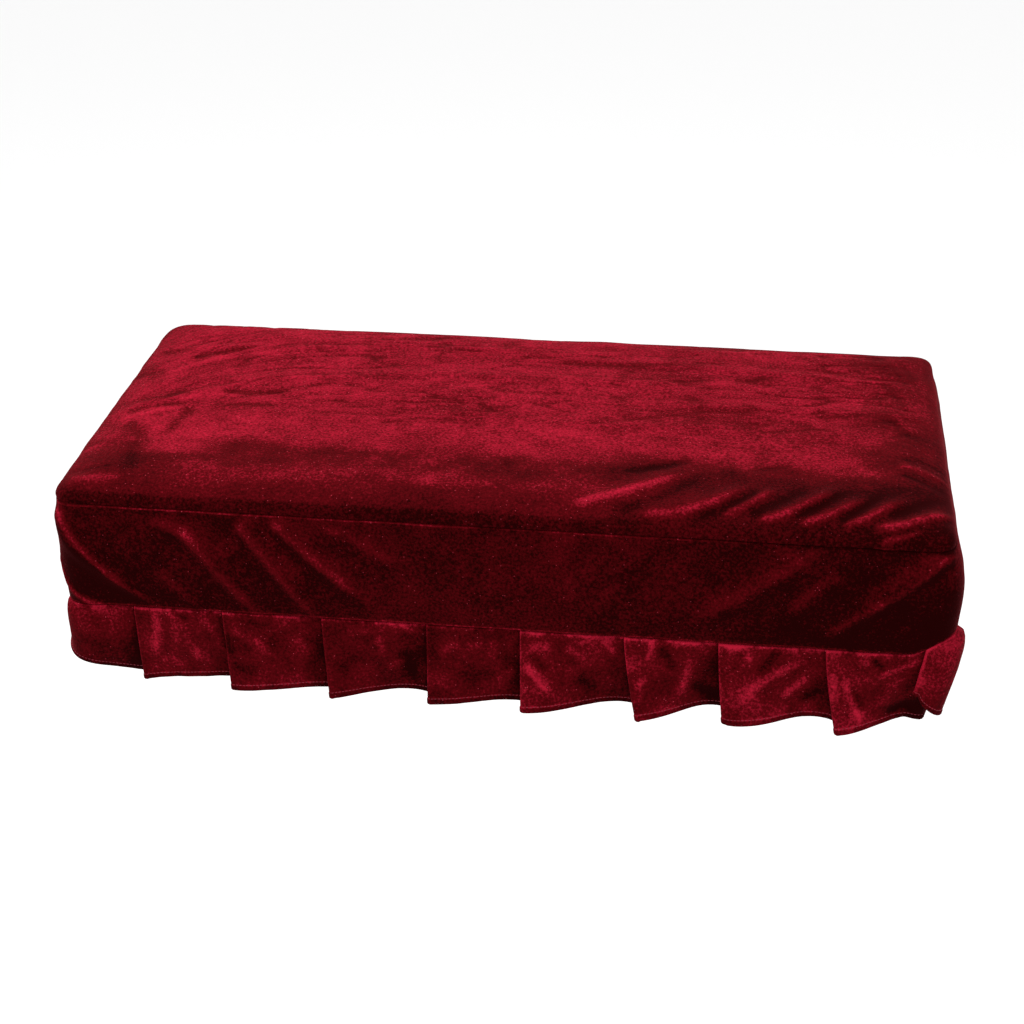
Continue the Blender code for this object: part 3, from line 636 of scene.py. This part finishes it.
def velvet_top(finishes):
    """The top: the solid's crown, quarter-ellipse rim and folds, with finer creases on its normal."""
    share_x, share_y, place_x, place_y = top_grid()
    share = np.maximum(np.abs(share_x), np.abs(share_y))
    reach = np.maximum(corner_reach(share_x, share_y), 1e-9)
    turn = np.minimum(share, 1.0) * np.pi / 2
    lip = np.maximum(share - 1.0, 0.0) / 0.2
    edge = np.sin(turn) - lip**2 * ROLL_DEPTH / RIM_WIDTH
    x = place_x * (HALF_LENGTH - RIM_WIDTH) + edge * share_x / reach * RIM_WIDTH
    y = place_y * (HALF_DEPTH - RIM_WIDTH) + edge * share_y / reach * RIM_WIDTH
    crown = CROWN * (1.0 - (x / HALF_LENGTH) ** 2) * (1.0 - (y / HALF_DEPTH) ** 2)
    z = TOP_Z + crown - (RIM_DROP - ROLL_HEIGHT) * (1.0 - np.cos(turn)) - ROLL_HEIGHT * lip
    inset = HALF_DEPTH + y
    folds = ridges(x, inset, RIM_FOLDS)
    z = z + (folds + wrinkle_height(x, y)) * (1.0 - 0.6 * np.sin(turn) ** 4)
    y = y - folds * edge**2
    x = x + np.sign(x) * end_stand(x, 0.0) * edge**8
    base = np.stack([x, y, z], axis=-1)
    creases = ridges(x, inset, TOP_CREASES)
    wrinkles, wrinkle_shading = fine_wrinkles(x, y)
    fine = wrinkles + CREASE_RELIEF * creases
    fine = fine + 0.0005 * top_noise(x, y, (0.030, 0.022), 14)
    round_place = np.where(np.abs(share_y) >= np.abs(share_x), x, y + 1.0)
    pucker = soft_noise(round_place / 0.009 + 90.0, share / 0.3, 499, 15)
    fine = fine + 0.0002 * pucker * smooth_step((share - 0.75) / 0.2) * (1.0 - lip)
    outer = base + grid_normals(base, False) * fine[..., None]
    inner = outer - grid_normals(outer, False) * CLOTH
    # The crease and wrinkle tones add painted shade in troughs and painted highlights on ridges.
    pile_and_painted_light = top_nap_and_painted_shade(x, y, share_x, share_y) + creases + wrinkle_shading
    return cloth_sheet("velvet_top", outer, inner, False, pile_and_painted_light, finishes)


def band_grid():
    """Places round the outline, closest on the front, and distances down, closest at the seams."""
    corners = (
        FRONT_CORNER,
        OUTLINE_LENGTH / 2 - FRONT_CORNER,
        OUTLINE_LENGTH / 2 + FRONT_CORNER,
        OUTLINE_LENGTH - FRONT_CORNER,
    )
    stops = [CORNER_HALF - FRONT_CORNER]
    for corner in corners:
        stops += [corner - CORNER_HALF, corner + CORNER_HALF]
    steps = (410, 40, 74, 22, 150, 22, 74, 40)
    along = np.concatenate(
        [
            np.linspace(start, end, count, endpoint=False)
            for start, end, count in zip(stops, stops[1:], steps)
        ]
    )
    behind = (-BAND_ALLOWANCE, -BAND_ALLOWANCE / 2)
    edge = np.linspace(0.0, ROLL_HEIGHT, 6)[:-1]
    face = np.linspace(ROLL_HEIGHT, BAND_HEIGHT - ROLL_HEIGHT, 42)
    fallen = np.concatenate([behind, edge, face, BAND_HEIGHT - edge[::-1]])
    return np.meshgrid(along, fallen)


def behind_seam(fallen):
    """How far inside a seam the cloth lies: by the allowance's depth above it, easing out below it."""
    return ALLOWANCE_DEPTH * (1.0 - smooth_step(fallen / SEAM_ROUNDING))


def velvet_band(finishes):
    """The band: the outline moved out by its swell, drag folds and creases, and rolled in at its seams.

    It runs on a little way behind the upper seam, as its seam allowance.
    """
    along, fallen = band_grid()
    share = np.clip(fallen / BAND_HEIGHT, 0.0, 1.0)
    to_seam = np.minimum(np.abs(fallen), BAND_HEIGHT - fallen)
    roll = np.maximum(1.0 - (BAND_HEIGHT - fallen) / ROLL_HEIGHT, 0.0)
    x = outline(along)[..., 0]
    folds = ridges(from_front(along), fallen, BAND_FOLDS)
    offset = BAND_SWELL * np.sin(np.pi * share) + end_stand(x, share) + folds
    creases = ridges(from_front(along), fallen, BAND_CREASES)
    offset = offset + CREASE_RELIEF * creases
    offset = offset + 0.0007 * round_noise(along, fallen, (0.045, 0.035), 21)
    offset = offset + 0.0002 * round_noise(along, fallen, (0.010, 0.012), 22)
    pucker = round_noise(along, fallen, (0.008, 0.030), 23)
    offset = offset + 0.0003 * pucker * np.exp(-to_seam / 0.006)
    offset = offset - ROLL_DEPTH * roll**2 - behind_seam(fallen)
    plan = outline(along) + outward(along, NEAR_REACH) * offset[..., None]
    height = UPPER_SEAM_Z - lower_seam(along) - 2 * SEAM_GAP
    z = UPPER_SEAM_Z - SEAM_GAP - fallen / BAND_HEIGHT * height
    outer = np.concatenate([plan, z[..., None]], axis=-1)
    normal = grid_normals(outer, True)
    inner = outer - normal * CLOTH
    up = normal[..., 2]
    patches = round_noise(along, fallen, (0.050, 0.030), 24)
    streak = round_noise(along + fallen * 0.8, fallen, (0.022, 0.090), 25)
    dashes = round_noise(along, fallen, (0.0045, 0.100), 26)
    faint = round_noise(along, fallen, (0.060, 0.100), 27)
    # Painted shade: the band is painted darker towards both ends of the front, more on the right.
    end_painted_shade = np.where(x > 0.0, 0.21, 0.14)
    pile_and_painted_light = BAND_TONE_SHADED - end_painted_shade * smooth_step(np.abs(x) / 0.30 - 0.3)
    pile_and_painted_light = pile_and_painted_light + 0.06 * patches + 0.04 * streak
    # Crease tones are painted shade and painted highlights, and faces turned upwards are painted
    # lighter as painted light.
    on_face = smooth_step(fallen / 0.004) * smooth_step((BAND_HEIGHT - fallen) / 0.004)
    pile_and_painted_light = pile_and_painted_light + creases + on_face * np.clip(up, -0.3, 0.5) * 0.7
    # Painted highlights: thin light lines along the rolled edges at both seams.
    upper_seam_highlight = np.exp(-(((fallen - 0.0014) / 0.0008) ** 2))
    lower_seam_highlight = np.exp(-(((BAND_HEIGHT - 0.0010 - fallen) / 0.0009) ** 2))
    pile_and_painted_light = pile_and_painted_light + upper_seam_highlight * (0.20 - 0.70 * x + 0.14 * faint + 0.16 * dashes)
    pile_and_painted_light = pile_and_painted_light + lower_seam_highlight * (0.30 + 0.10 * faint + 0.14 * dashes)
    return cloth_sheet("velvet_band", outer, inner, True, pile_and_painted_light, finishes)


def pleat_rows():
    """Every pleat in order, with the columns of FRONT_PLEATS; those out of sight are alike."""
    rows = [list(row) for row in FRONT_PLEATS]
    random = np.random.default_rng(PLEAT_SEED)
    first = FRONT_PLEATS[-1][0]
    last = OUTLINE_LENGTH + FRONT_PLEATS[0][0]
    spacing = (last - first) / (OTHER_PLEATS + 1)
    for count in range(OTHER_PLEATS):
        place = first + spacing * (count + 1) + random.uniform(-0.003, 0.003)
        lean = random.uniform(-0.002, 0.008)
        hem = (
            random.uniform(0.004, 0.010),
            random.uniform(0.000, 0.006),
            random.uniform(-0.010, -0.002),
            random.uniform(-0.012, -0.004),
        )
        rows.append([place, lean, *OTHER_SHAPE, *hem, *OTHER_RISES])
    return np.array(rows)


def through(values, share):
    """The cubic through four equally spaced values."""
    stations = np.linspace(0.0, 1.0, 4)
    step = share[:, None] - stations
    line = np.zeros_like(share)
    for k in range(4):
        others = [m for m in range(4) if m != k]
        weight = np.prod(step[:, others] / (stations[k] - stations[others]), axis=1)
        line += values[k] * weight
    return line


def pleat_path(row, next_row, face_steps):
    """One pleat as columns of points: along and depth at the seam, along, depth and rise at the hem,
    and the pleat's curl and belly.

    Last come a share of light on the outer fold, and the share of the way along the face.
    It turns round the outer fold in a half circle, runs along the face, slips behind the next
    pleat, turns round the inner fold in a half circle, and comes back on the return layer.
    """
    place, lean, curl, belly, tail = row[:5]
    hem, rise = row[5:9], row[9:13]
    inner_rise = max(rise[3], next_row[10] + RETURN_RISE)
    next_place, next_lean = next_row[0], next_row[1]
    half = LAYER_PITCH / 2
    bend = np.linspace(0.0, np.pi, 7)
    share = np.linspace(0.0, 1.0, face_steps + 2)[1:-1]
    inner = next_place + UNDERLAP
    width = next_place - place
    seam_face = place + half + share * (width - half)
    behind = np.linspace(0.0, 1.0, 5)
    seam_along = [
        place + half - half * np.sin(bend),
        seam_face,
        next_place + behind * (inner - half - next_place),
        inner - half + half * np.sin(bend[1:]),
    ]
    seam_depth = [
        half + half * np.cos(bend),
        2 * LAYER_PITCH * smooth_step(((seam_face - place) / width - 0.5) / 0.45),
        np.full(5, 4 * half),
        3 * half + half * np.cos(bend[1:]),
    ]
    start = place + lean
    hem_inner = next_place + next_lean + tail
    hem_width = hem_inner - HEM_UNDERLAP - start
    tuck = -hem[3] + HEM_TUCK * HEM_UNDERLAP / tail
    hem_share = (HEM_FOLD + share * (hem_width - HEM_FOLD)) / hem_width
    hem_along = [
        start + HEM_FOLD - HEM_FOLD * np.sin(bend),
        start + hem_share * hem_width,
        start + hem_width + behind * (hem_inner - HEM_FOLD - start - hem_width),
        hem_inner - HEM_FOLD + HEM_FOLD * np.sin(bend[1:]),
    ]
    hem_depth = [
        HEM_FOLD - hem[0] + HEM_FOLD * np.cos(bend),
        -through(hem, hem_share),
        -hem[3] + smooth_step(behind) * (tuck + hem[3]),
        tuck - HEM_FOLD + HEM_FOLD * np.cos(bend[1:]),
    ]
    turned_rise = rise[3] + (inner_rise - rise[3]) * bend[1:] / np.pi
    behind_rise = np.concatenate([np.full(5, rise[3]), turned_rise])
    hem_rise = np.concatenate([np.full(7, rise[0]), through(rise, hem_share), behind_rise])
    curls = np.full_like(hem_rise, curl)
    bellies = np.concatenate([np.zeros(7), belly * np.sin(np.pi * share), np.zeros(11)])
    fold_light = np.concatenate([np.sin(bend), 0.0 * share, np.zeros(11)])
    face_share = np.concatenate([np.zeros(7), share, np.ones(11)])
    joined = [np.concatenate(part) for part in (seam_along, seam_depth, hem_along, hem_depth)]
    return (*joined, hem_rise, curls, bellies, fold_light, face_share)


def ruffle_rows():
    """Distances down the ruffle: close at its rolled top and at its hem, and two above the seam."""
    behind = (-RUFFLE_ALLOWANCE, -RUFFLE_ALLOWANCE / 2)
    edge = np.linspace(0.0, ROLL_HEIGHT, 5)[:-1]
    face = np.linspace(ROLL_HEIGHT, RUFFLE_HEIGHT - 0.0095, 19)
    hem = RUFFLE_HEIGHT - np.array([78, 66, 60, 55, 50, 42, 26, 12, 5, 0]) * 0.0001
    return np.concatenate([behind, edge, face, hem])


def velvet_ruffle(finishes):
    """The ruffle: the pleated path at the seam, opened out to the hem's path on the way down.

    Returns the piece and the line of the hem's stitches on its outside.
    """
    rows = pleat_rows()
    following = np.roll(rows, -1, axis=0)
    following[-1, 0] += OUTLINE_LENGTH
    paths = []
    for number, (row, after) in enumerate(zip(rows, following)):
        turned = 1.0 - np.sum(outward(row[0], NEAR_REACH) * outward(after[0], NEAR_REACH))
        steps = 36 if number < len(FRONT_PLEATS) else 16 + round(16 * turned)
        paths.append(pleat_path(row, after, steps))
    seam_along, seam_depth, hem_along, hem_depth, hem_rise, curl, belly, fold_light, face_share = (
        np.concatenate(part) for part in zip(*paths)
    )
    tones = PLEAT_TONES + (0.0,) * OTHER_PLEATS
    pleat_tone = np.concatenate([np.full(len(path[0]), tone) for path, tone in zip(paths, tones)])
    fallen = ruffle_rows()[:, None]
    down = fallen / RUFFLE_HEIGHT
    from_hem = RUFFLE_HEIGHT - fallen
    past_roll = np.maximum(fallen - ROLL_HEIGHT, 0.0) / (RUFFLE_HEIGHT - ROLL_HEIGHT)
    open_share = past_roll**curl
    along = seam_along + (hem_along - seam_along) * open_share
    fallen = np.broadcast_to(fallen, along.shape)
    depth = seam_depth + (hem_depth - seam_depth) * open_share + CLOTH / 2
    stand = end_stand(outline(seam_along)[..., 0], 1.0)
    flap = np.concatenate([np.full(len(path[0]), k == FLAP) for k, path in enumerate(paths)])
    creases = ridges(from_front(along), fallen, RUFFLE_CREASES) * ~flap
    relief = CREASE_RELIEF * creases
    relief = relief + 0.0014 * past_roll * round_noise(along, fallen, (0.030, 0.040), 31)
    relief = relief + 0.0003 * round_noise(along, fallen, (0.009, 0.012), 32)
    pucker = round_noise(along, fallen, (0.007, 0.030), 33)
    relief = relief + 0.0004 * pucker * np.exp(-np.maximum(fallen, 0.0) / 0.008)
    bow = belly * np.sin(np.pi * np.sqrt(past_roll)) - depth + relief
    bow = bow - behind_seam(fallen)
    plan = outline(along) + outward(along, NEAR_REACH) * stand[..., None]
    plan = plan + outward(along, FAR_REACH) * bow[..., None]
    seam_z = lower_seam(seam_along) - RUFFLE_GAP - LAYER_DROP * seam_depth
    hem_z = LOWER_SEAM_Z - RUFFLE_HEIGHT + hem_rise
    z = seam_z + (hem_z - seam_z) * down
    middle = np.concatenate([plan, z[..., None]], axis=-1)
    hem_share = smooth_step((HEM_HEIGHT + 0.0006 - from_hem) / 0.0010)
    groove = np.exp(-(((from_hem - HEM_HEIGHT) / 0.0005) ** 2))
    thickness = CLOTH + (HEM_THICKNESS - CLOTH) * hem_share - HEM_GROOVE * groove
    rounding = np.sqrt(np.clip(1.0 - (1.0 - from_hem / 0.0013) ** 2, 0.09, 1.0))
    thickness = thickness * np.where(from_hem < 0.0013, rounding, 1.0)
    normal = grid_normals(middle, True)
    outer = middle + normal * thickness[..., None] / 2
    inner = middle - normal * thickness[..., None] / 2
    up = normal[..., 2]
    patches = round_noise(along, fallen, (0.028, 0.024), 34)
    spots = round_noise(along, fallen, (0.011, 0.013), 36)
    dashes = round_noise(along, fallen, (0.0045, 0.100), 35)
    # The ruffle's tone is painted darker than the top's as painted shade; its crease tones are painted
    # shade and painted highlights.
    pile_and_painted_light = RUFFLE_TONE_SHADED + pleat_tone + 0.11 * patches + 0.10 * spots + creases
    # Painted highlight along each outer fold, and faces turned upwards painted lighter as painted
    # light.
    pile_and_painted_light = pile_and_painted_light + 0.42 * fold_light * (1.0 - 0.7 * down) + 0.5 * np.clip(up, -0.4, 0.4)
    # Painted shadow at the end of each face, low down where it slips under the next pleat, and a
    # painted shadow line just before each fold.
    pile_and_painted_light = pile_and_painted_light - 0.22 * smooth_step((face_share - 0.72) / 0.22) * smooth_step((down - 0.10) / 0.4)
    pile_and_painted_light = pile_and_painted_light - 0.16 * smooth_step((face_share - 0.93) / 0.06)
    # Painted highlight: a light line along the top of the ruffle, just below the seam.
    pile_and_painted_light = pile_and_painted_light + (0.24 + 0.26 * dashes) * np.exp(-(((fallen - 0.0017) / 0.0008) ** 2))
    pile_and_painted_light = pile_and_painted_light - 0.14 * hem_share + 0.30 * np.exp(-(((from_hem - HEM_HEIGHT) / 0.0008) ** 2))
    item = cloth_sheet("velvet_ruffle", outer, inner, True, pile_and_painted_light, finishes)
    stitch_row = int(np.argmin(np.abs(from_hem[:, 0] - HEM_HEIGHT)))
    return item, outer[stitch_row], normal[stitch_row]


def hem_stitches(line, normals, finish):
    """Small thread stitches, evenly spaced along a closed line: six-sided capsules of six rings."""
    closed = np.concatenate([line, line[:1]])
    normals = np.concatenate([normals, normals[:1]])
    travelled = np.concatenate([[0.0], np.cumsum(np.linalg.norm(np.diff(closed, axis=0), axis=1))])
    count = int(travelled[-1] / STITCH_PITCH)
    centres = (np.arange(count) + 0.5) * travelled[-1] / count
    rings = np.array([-0.5, -0.42, -0.2, 0.2, 0.42, 0.5])
    widths = np.array([0.15, 0.75, 1.0, 1.0, 0.75, 0.15])
    places = centres[:, None] + rings * STITCH_LENGTH
    point = np.stack([np.interp(places, travelled, closed[:, k]) for k in range(3)], axis=-1)
    out = np.stack([np.interp(places, travelled, normals[:, k]) for k in range(3)], axis=-1)
    out /= np.linalg.norm(out, axis=-1, keepdims=True)
    ahead = np.gradient(point, axis=1)
    ahead /= np.linalg.norm(ahead, axis=-1, keepdims=True)
    side = np.cross(ahead, out)
    turn = np.linspace(0.0, 2 * np.pi, 6, endpoint=False)
    radius = (STITCH_RADIUS * widths)[None, :, None, None]
    circle = out[:, :, None] * np.cos(turn)[:, None] + side[:, :, None] * np.sin(turn)[:, None]
    points = point[:, :, None] + radius * circle
    index = np.arange(count * 36).reshape(count, 6, 6)
    right = np.roll(index, -1, axis=2)
    corners = (index[:, :-1], index[:, 1:], right[:, 1:], right[:, :-1])
    sides = np.stack([corner.ravel() for corner in corners], axis=1)
    caps = np.concatenate([index[:, 0], index[:, -1, ::-1]])
    mesh = bpy.data.meshes.new("hem_stitches")
    mesh.from_pydata(points.reshape(-1, 3).tolist(), [], sides.tolist() + caps.tolist())
    shell = bmesh.new()
    shell.from_mesh(mesh)
    bmesh.ops.recalc_face_normals(shell, faces=shell.faces[:])
    shell.to_mesh(mesh)
    shell.free()
    mesh.shade_smooth()
    mesh.materials.append(finish)
    item = bpy.data.objects.new("hem_stitches", mesh)
    bpy.context.scene.collection.objects.link(item)
    return item


def material_with_shader(name):
    """A new material with nodes, its node tree and its Principled shader."""
    material = bpy.data.materials.new(name)
    material.use_nodes = True
    tree = material.node_tree
    return material, tree, tree.nodes["Principled BSDF"]


def add_node(tree, kind, **settings):
    """A node of one kind, with its settings; names in inputs set the default of that socket."""
    node = tree.nodes.new(kind)
    for key, value in settings.pop("inputs", {}).items():
        node.inputs[key].default_value = value
    for key, value in settings.items():
        setattr(node, key, value)
    return node


def math_node(tree, operation, first, second):
    """A Math node; each operand is a socket or a number."""
    node = add_node(tree, "ShaderNodeMath", operation=operation)
    for socket, value in zip(node.inputs, (first, second)):
        if isinstance(value, (int, float)):
            socket.default_value = value
        else:
            tree.links.new(value, socket)
    return node.outputs[0]


def velvet(name, deep, middle, bright):
    """Velvet: colour from the vertex tone of its nap with painted light and shade, broken up by nap
    speckle and sparse painted sparkles, with sheen.
    """
    material, tree, shader = material_with_shader(name)
    coordinates = add_node(tree, "ShaderNodeTexCoord").outputs["Object"]
    nap = add_node(
        tree, "ShaderNodeTexNoise", inputs={"Scale": 430.0, "Detail": 3.0, "Roughness": 0.7}
    )
    clouds = add_node(
        tree, "ShaderNodeTexNoise", inputs={"Scale": 48.0, "Detail": 3.0, "Roughness": 0.6}
    )
    painted_glints = add_node(tree, "ShaderNodeTexVoronoi", inputs={"Scale": 620.0})
    for node in (nap, clouds, painted_glints):
        tree.links.new(coordinates, node.inputs["Vector"])
    pile_and_painted_light = add_node(tree, "ShaderNodeAttribute", attribute_name="pile_and_painted_light").outputs["Fac"]
    speckle = math_node(tree, "MULTIPLY", math_node(tree, "SUBTRACT", nap.outputs[0], 0.5), SPECKLE)
    cloudy = math_node(tree, "MULTIPLY", math_node(tree, "SUBTRACT", clouds.outputs[0], 0.5), CLOUDS)
    tone = math_node(tree, "ADD", pile_and_painted_light, math_node(tree, "ADD", speckle, cloudy))
    ramp = add_node(tree, "ShaderNodeValToRGB")
    ramp.color_ramp.elements[0].color = deep
    ramp.color_ramp.elements[0].position = 0.0
    ramp.color_ramp.elements[1].color = bright
    ramp.color_ramp.elements[1].position = 1.0
    ramp.color_ramp.elements.new(0.5).color = middle
    tree.links.new(tone, ramp.inputs["Fac"])
    # Painted sparkles: rare small specks mixed into the colour as painted highlights, stronger where
    # the tone is lighter.
    colour_of_cell = add_node(tree, "ShaderNodeSeparateColor")
    tree.links.new(painted_glints.outputs["Color"], colour_of_cell.inputs[0])
    rare = math_node(tree, "GREATER_THAN", colour_of_cell.outputs[0], PAINTED_GLINT_RARITY)
    small = math_node(tree, "LESS_THAN", painted_glints.outputs["Distance"], 0.30)
    painted_glint = math_node(tree, "MULTIPLY", rare, small)
    painted_glint = math_node(tree, "MULTIPLY", painted_glint, math_node(tree, "ADD", pile_and_painted_light, 0.15))
    mix = add_node(tree, "ShaderNodeMix", data_type="RGBA")
    tree.links.new(painted_glint, mix.inputs["Factor"])
    tree.links.new(ramp.outputs["Color"], mix.inputs["A"])
    mix.inputs["B"].default_value = (0.55, 0.05, 0.08, 1.0)
    tree.links.new(mix.outputs["Result"], shader.inputs["Base Color"])
    bump = add_node(tree, "ShaderNodeBump", inputs={"Strength": 0.5, "Distance": 0.0006})
    tree.links.new(nap.outputs[0], bump.inputs["Height"])
    tree.links.new(bump.outputs[0], shader.inputs["Normal"])
    shader.inputs["Roughness"].default_value = 0.75
    shader.inputs["Specular IOR Level"].default_value = 0.01
    shader.inputs["Sheen Weight"].default_value = 0.18
    shader.inputs["Sheen Roughness"].default_value = 0.35
    shader.inputs["Sheen Tint"].default_value = (0.90, 0.02, 0.05, 1.0)
    return material


def cloth_back():
    """The smooth knitted back of the velvet, with its fine rows."""
    material, tree, shader = material_with_shader("cloth_back")
    coordinates = add_node(tree, "ShaderNodeTexCoord").outputs["Object"]
    knit = add_node(tree, "ShaderNodeTexWave", inputs={"Scale": 260.0, "Distortion": 1.5})
    tree.links.new(coordinates, knit.inputs["Vector"])
    ramp = add_node(tree, "ShaderNodeValToRGB")
    ramp.color_ramp.elements[0].color = (0.10, 0.004, 0.012, 1.0)
    ramp.color_ramp.elements[1].color = (0.18, 0.010, 0.024, 1.0)
    tree.links.new(knit.outputs["Fac"], ramp.inputs["Fac"])
    tree.links.new(ramp.outputs["Color"], shader.inputs["Base Color"])
    bump = add_node(tree, "ShaderNodeBump", inputs={"Strength": 0.3, "Distance": 0.0002})
    tree.links.new(knit.outputs["Fac"], bump.inputs["Height"])
    tree.links.new(bump.outputs[0], shader.inputs["Normal"])
    shader.inputs["Roughness"].default_value = 0.9
    return material


def thread():
    """Fine sewing thread with a slight twist."""
    material, tree, shader = material_with_shader("thread")
    coordinates = add_node(tree, "ShaderNodeTexCoord").outputs["Object"]
    twist = add_node(tree, "ShaderNodeTexWave", inputs={"Scale": 900.0, "Distortion": 0.5})
    tree.links.new(coordinates, twist.inputs["Vector"])
    ramp = add_node(tree, "ShaderNodeValToRGB")
    ramp.color_ramp.elements[0].color = (0.10, 0.004, 0.012, 1.0)
    ramp.color_ramp.elements[1].color = (0.34, 0.014, 0.040, 1.0)
    tree.links.new(twist.outputs["Fac"], ramp.inputs["Fac"])
    tree.links.new(ramp.outputs["Color"], shader.inputs["Base Color"])
    shader.inputs["Roughness"].default_value = 0.6
    return material


def dress_cover():
    """Makes the pieces, puts each on the frame and hides the solid it stands for."""
    back = cloth_back()
    cloth = velvet(
        "velvet", (0.012, 0.0001, 0.0002, 1), (0.085, 0.0014, 0.0034, 1), (0.40, 0.009, 0.028, 1)
    )
    top = velvet_top((cloth, back))
    band = velvet_band((cloth, back))
    ruffle, stitch_line, stitch_normals = velvet_ruffle((cloth, back))
    stitches = hem_stitches(stitch_line, stitch_normals, thread())
    for piece, node, slot in (
        (top, "top_panel", "top_velvet"),
        (band, "side_band", "band_velvet"),
        (ruffle, "ruffle", "ruffle_velvet"),
    ):
        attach(piece, "root")
        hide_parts(node)
    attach(stitches, "root")


def floor_and_light():
    """A plain pale floor and soft light from all round and above."""
    scene = bpy.context.scene
    low = solids_box[0][2] - FLOOR_DROP
    mesh = bpy.data.meshes.new("floor")
    half = 9.0
    corners = [(-half, -half, low), (half, -half, low), (half, half, low), (-half, half, low)]
    mesh.from_pydata(corners, [], [(0, 1, 2, 3)])
    pale, _, shader = material_with_shader("pale_floor")
    shader.inputs["Base Color"].default_value = (0.94, 0.94, 0.94, 1.0)
    shader.inputs["Roughness"].default_value = 0.9
    mesh.materials.append(pale)
    floor = bpy.data.objects.new("floor", mesh)
    scene.collection.objects.link(floor)
    world = bpy.data.worlds.new("studio")
    world.use_nodes = True
    world.node_tree.nodes["Background"].inputs["Color"].default_value = (1.0, 1.0, 1.0, 1.0)
    world.node_tree.nodes["Background"].inputs["Strength"].default_value = 1.0
    scene.world = world
    for name, place, size, power in (
        ("overhead", (-0.3, 0.5, 2.4), 2.2, 40.0),
        ("front_left", (-1.8, -1.6, 1.8), 1.2, 10.0),
    ):
        lamp = bpy.data.lights.new(name, "AREA")
        lamp.energy = power
        lamp.size = size
        item = bpy.data.objects.new(name, lamp)
        item.location = place
        aim = Vector((0.0, 0.0, LOWER_SEAM_Z)) - Vector(place)
        item.rotation_euler = aim.to_track_quat("-Z", "Y").to_euler()
        scene.collection.objects.link(item)
    scene.view_settings.view_transform = "Standard"


def photo_camera():
    """The photograph's viewpoint, from its azimuth and elevation and then its roll."""
    azimuth, elevation, roll = np.radians([CAMERA_AZIMUTH, CAMERA_ELEVATION, CAMERA_ROLL])
    back = np.array(
        [
            np.sin(azimuth) * np.cos(elevation),
            -np.cos(azimuth) * np.cos(elevation),
            np.sin(elevation),
        ]
    )
    level = np.array([np.cos(azimuth), np.sin(azimuth), 0.0])
    above = np.cross(back, level)
    turned = np.eye(4)
    turned[:3, 0] = np.cos(roll) * level + np.sin(roll) * above
    turned[:3, 1] = -np.sin(roll) * level + np.cos(roll) * above
    turned[:3, 2] = back
    turned[:3, 3] = CAMERA_PLACE
    lens = bpy.data.cameras.new("photo_camera")
    lens.lens = LENS
    camera = bpy.data.objects.new("photo_camera", lens)
    bpy.context.scene.collection.objects.link(camera)
    camera.matrix_world = Matrix(turned.tolist())
    bpy.context.scene.camera = camera


photo_camera()
dress_cover()
floor_and_light()
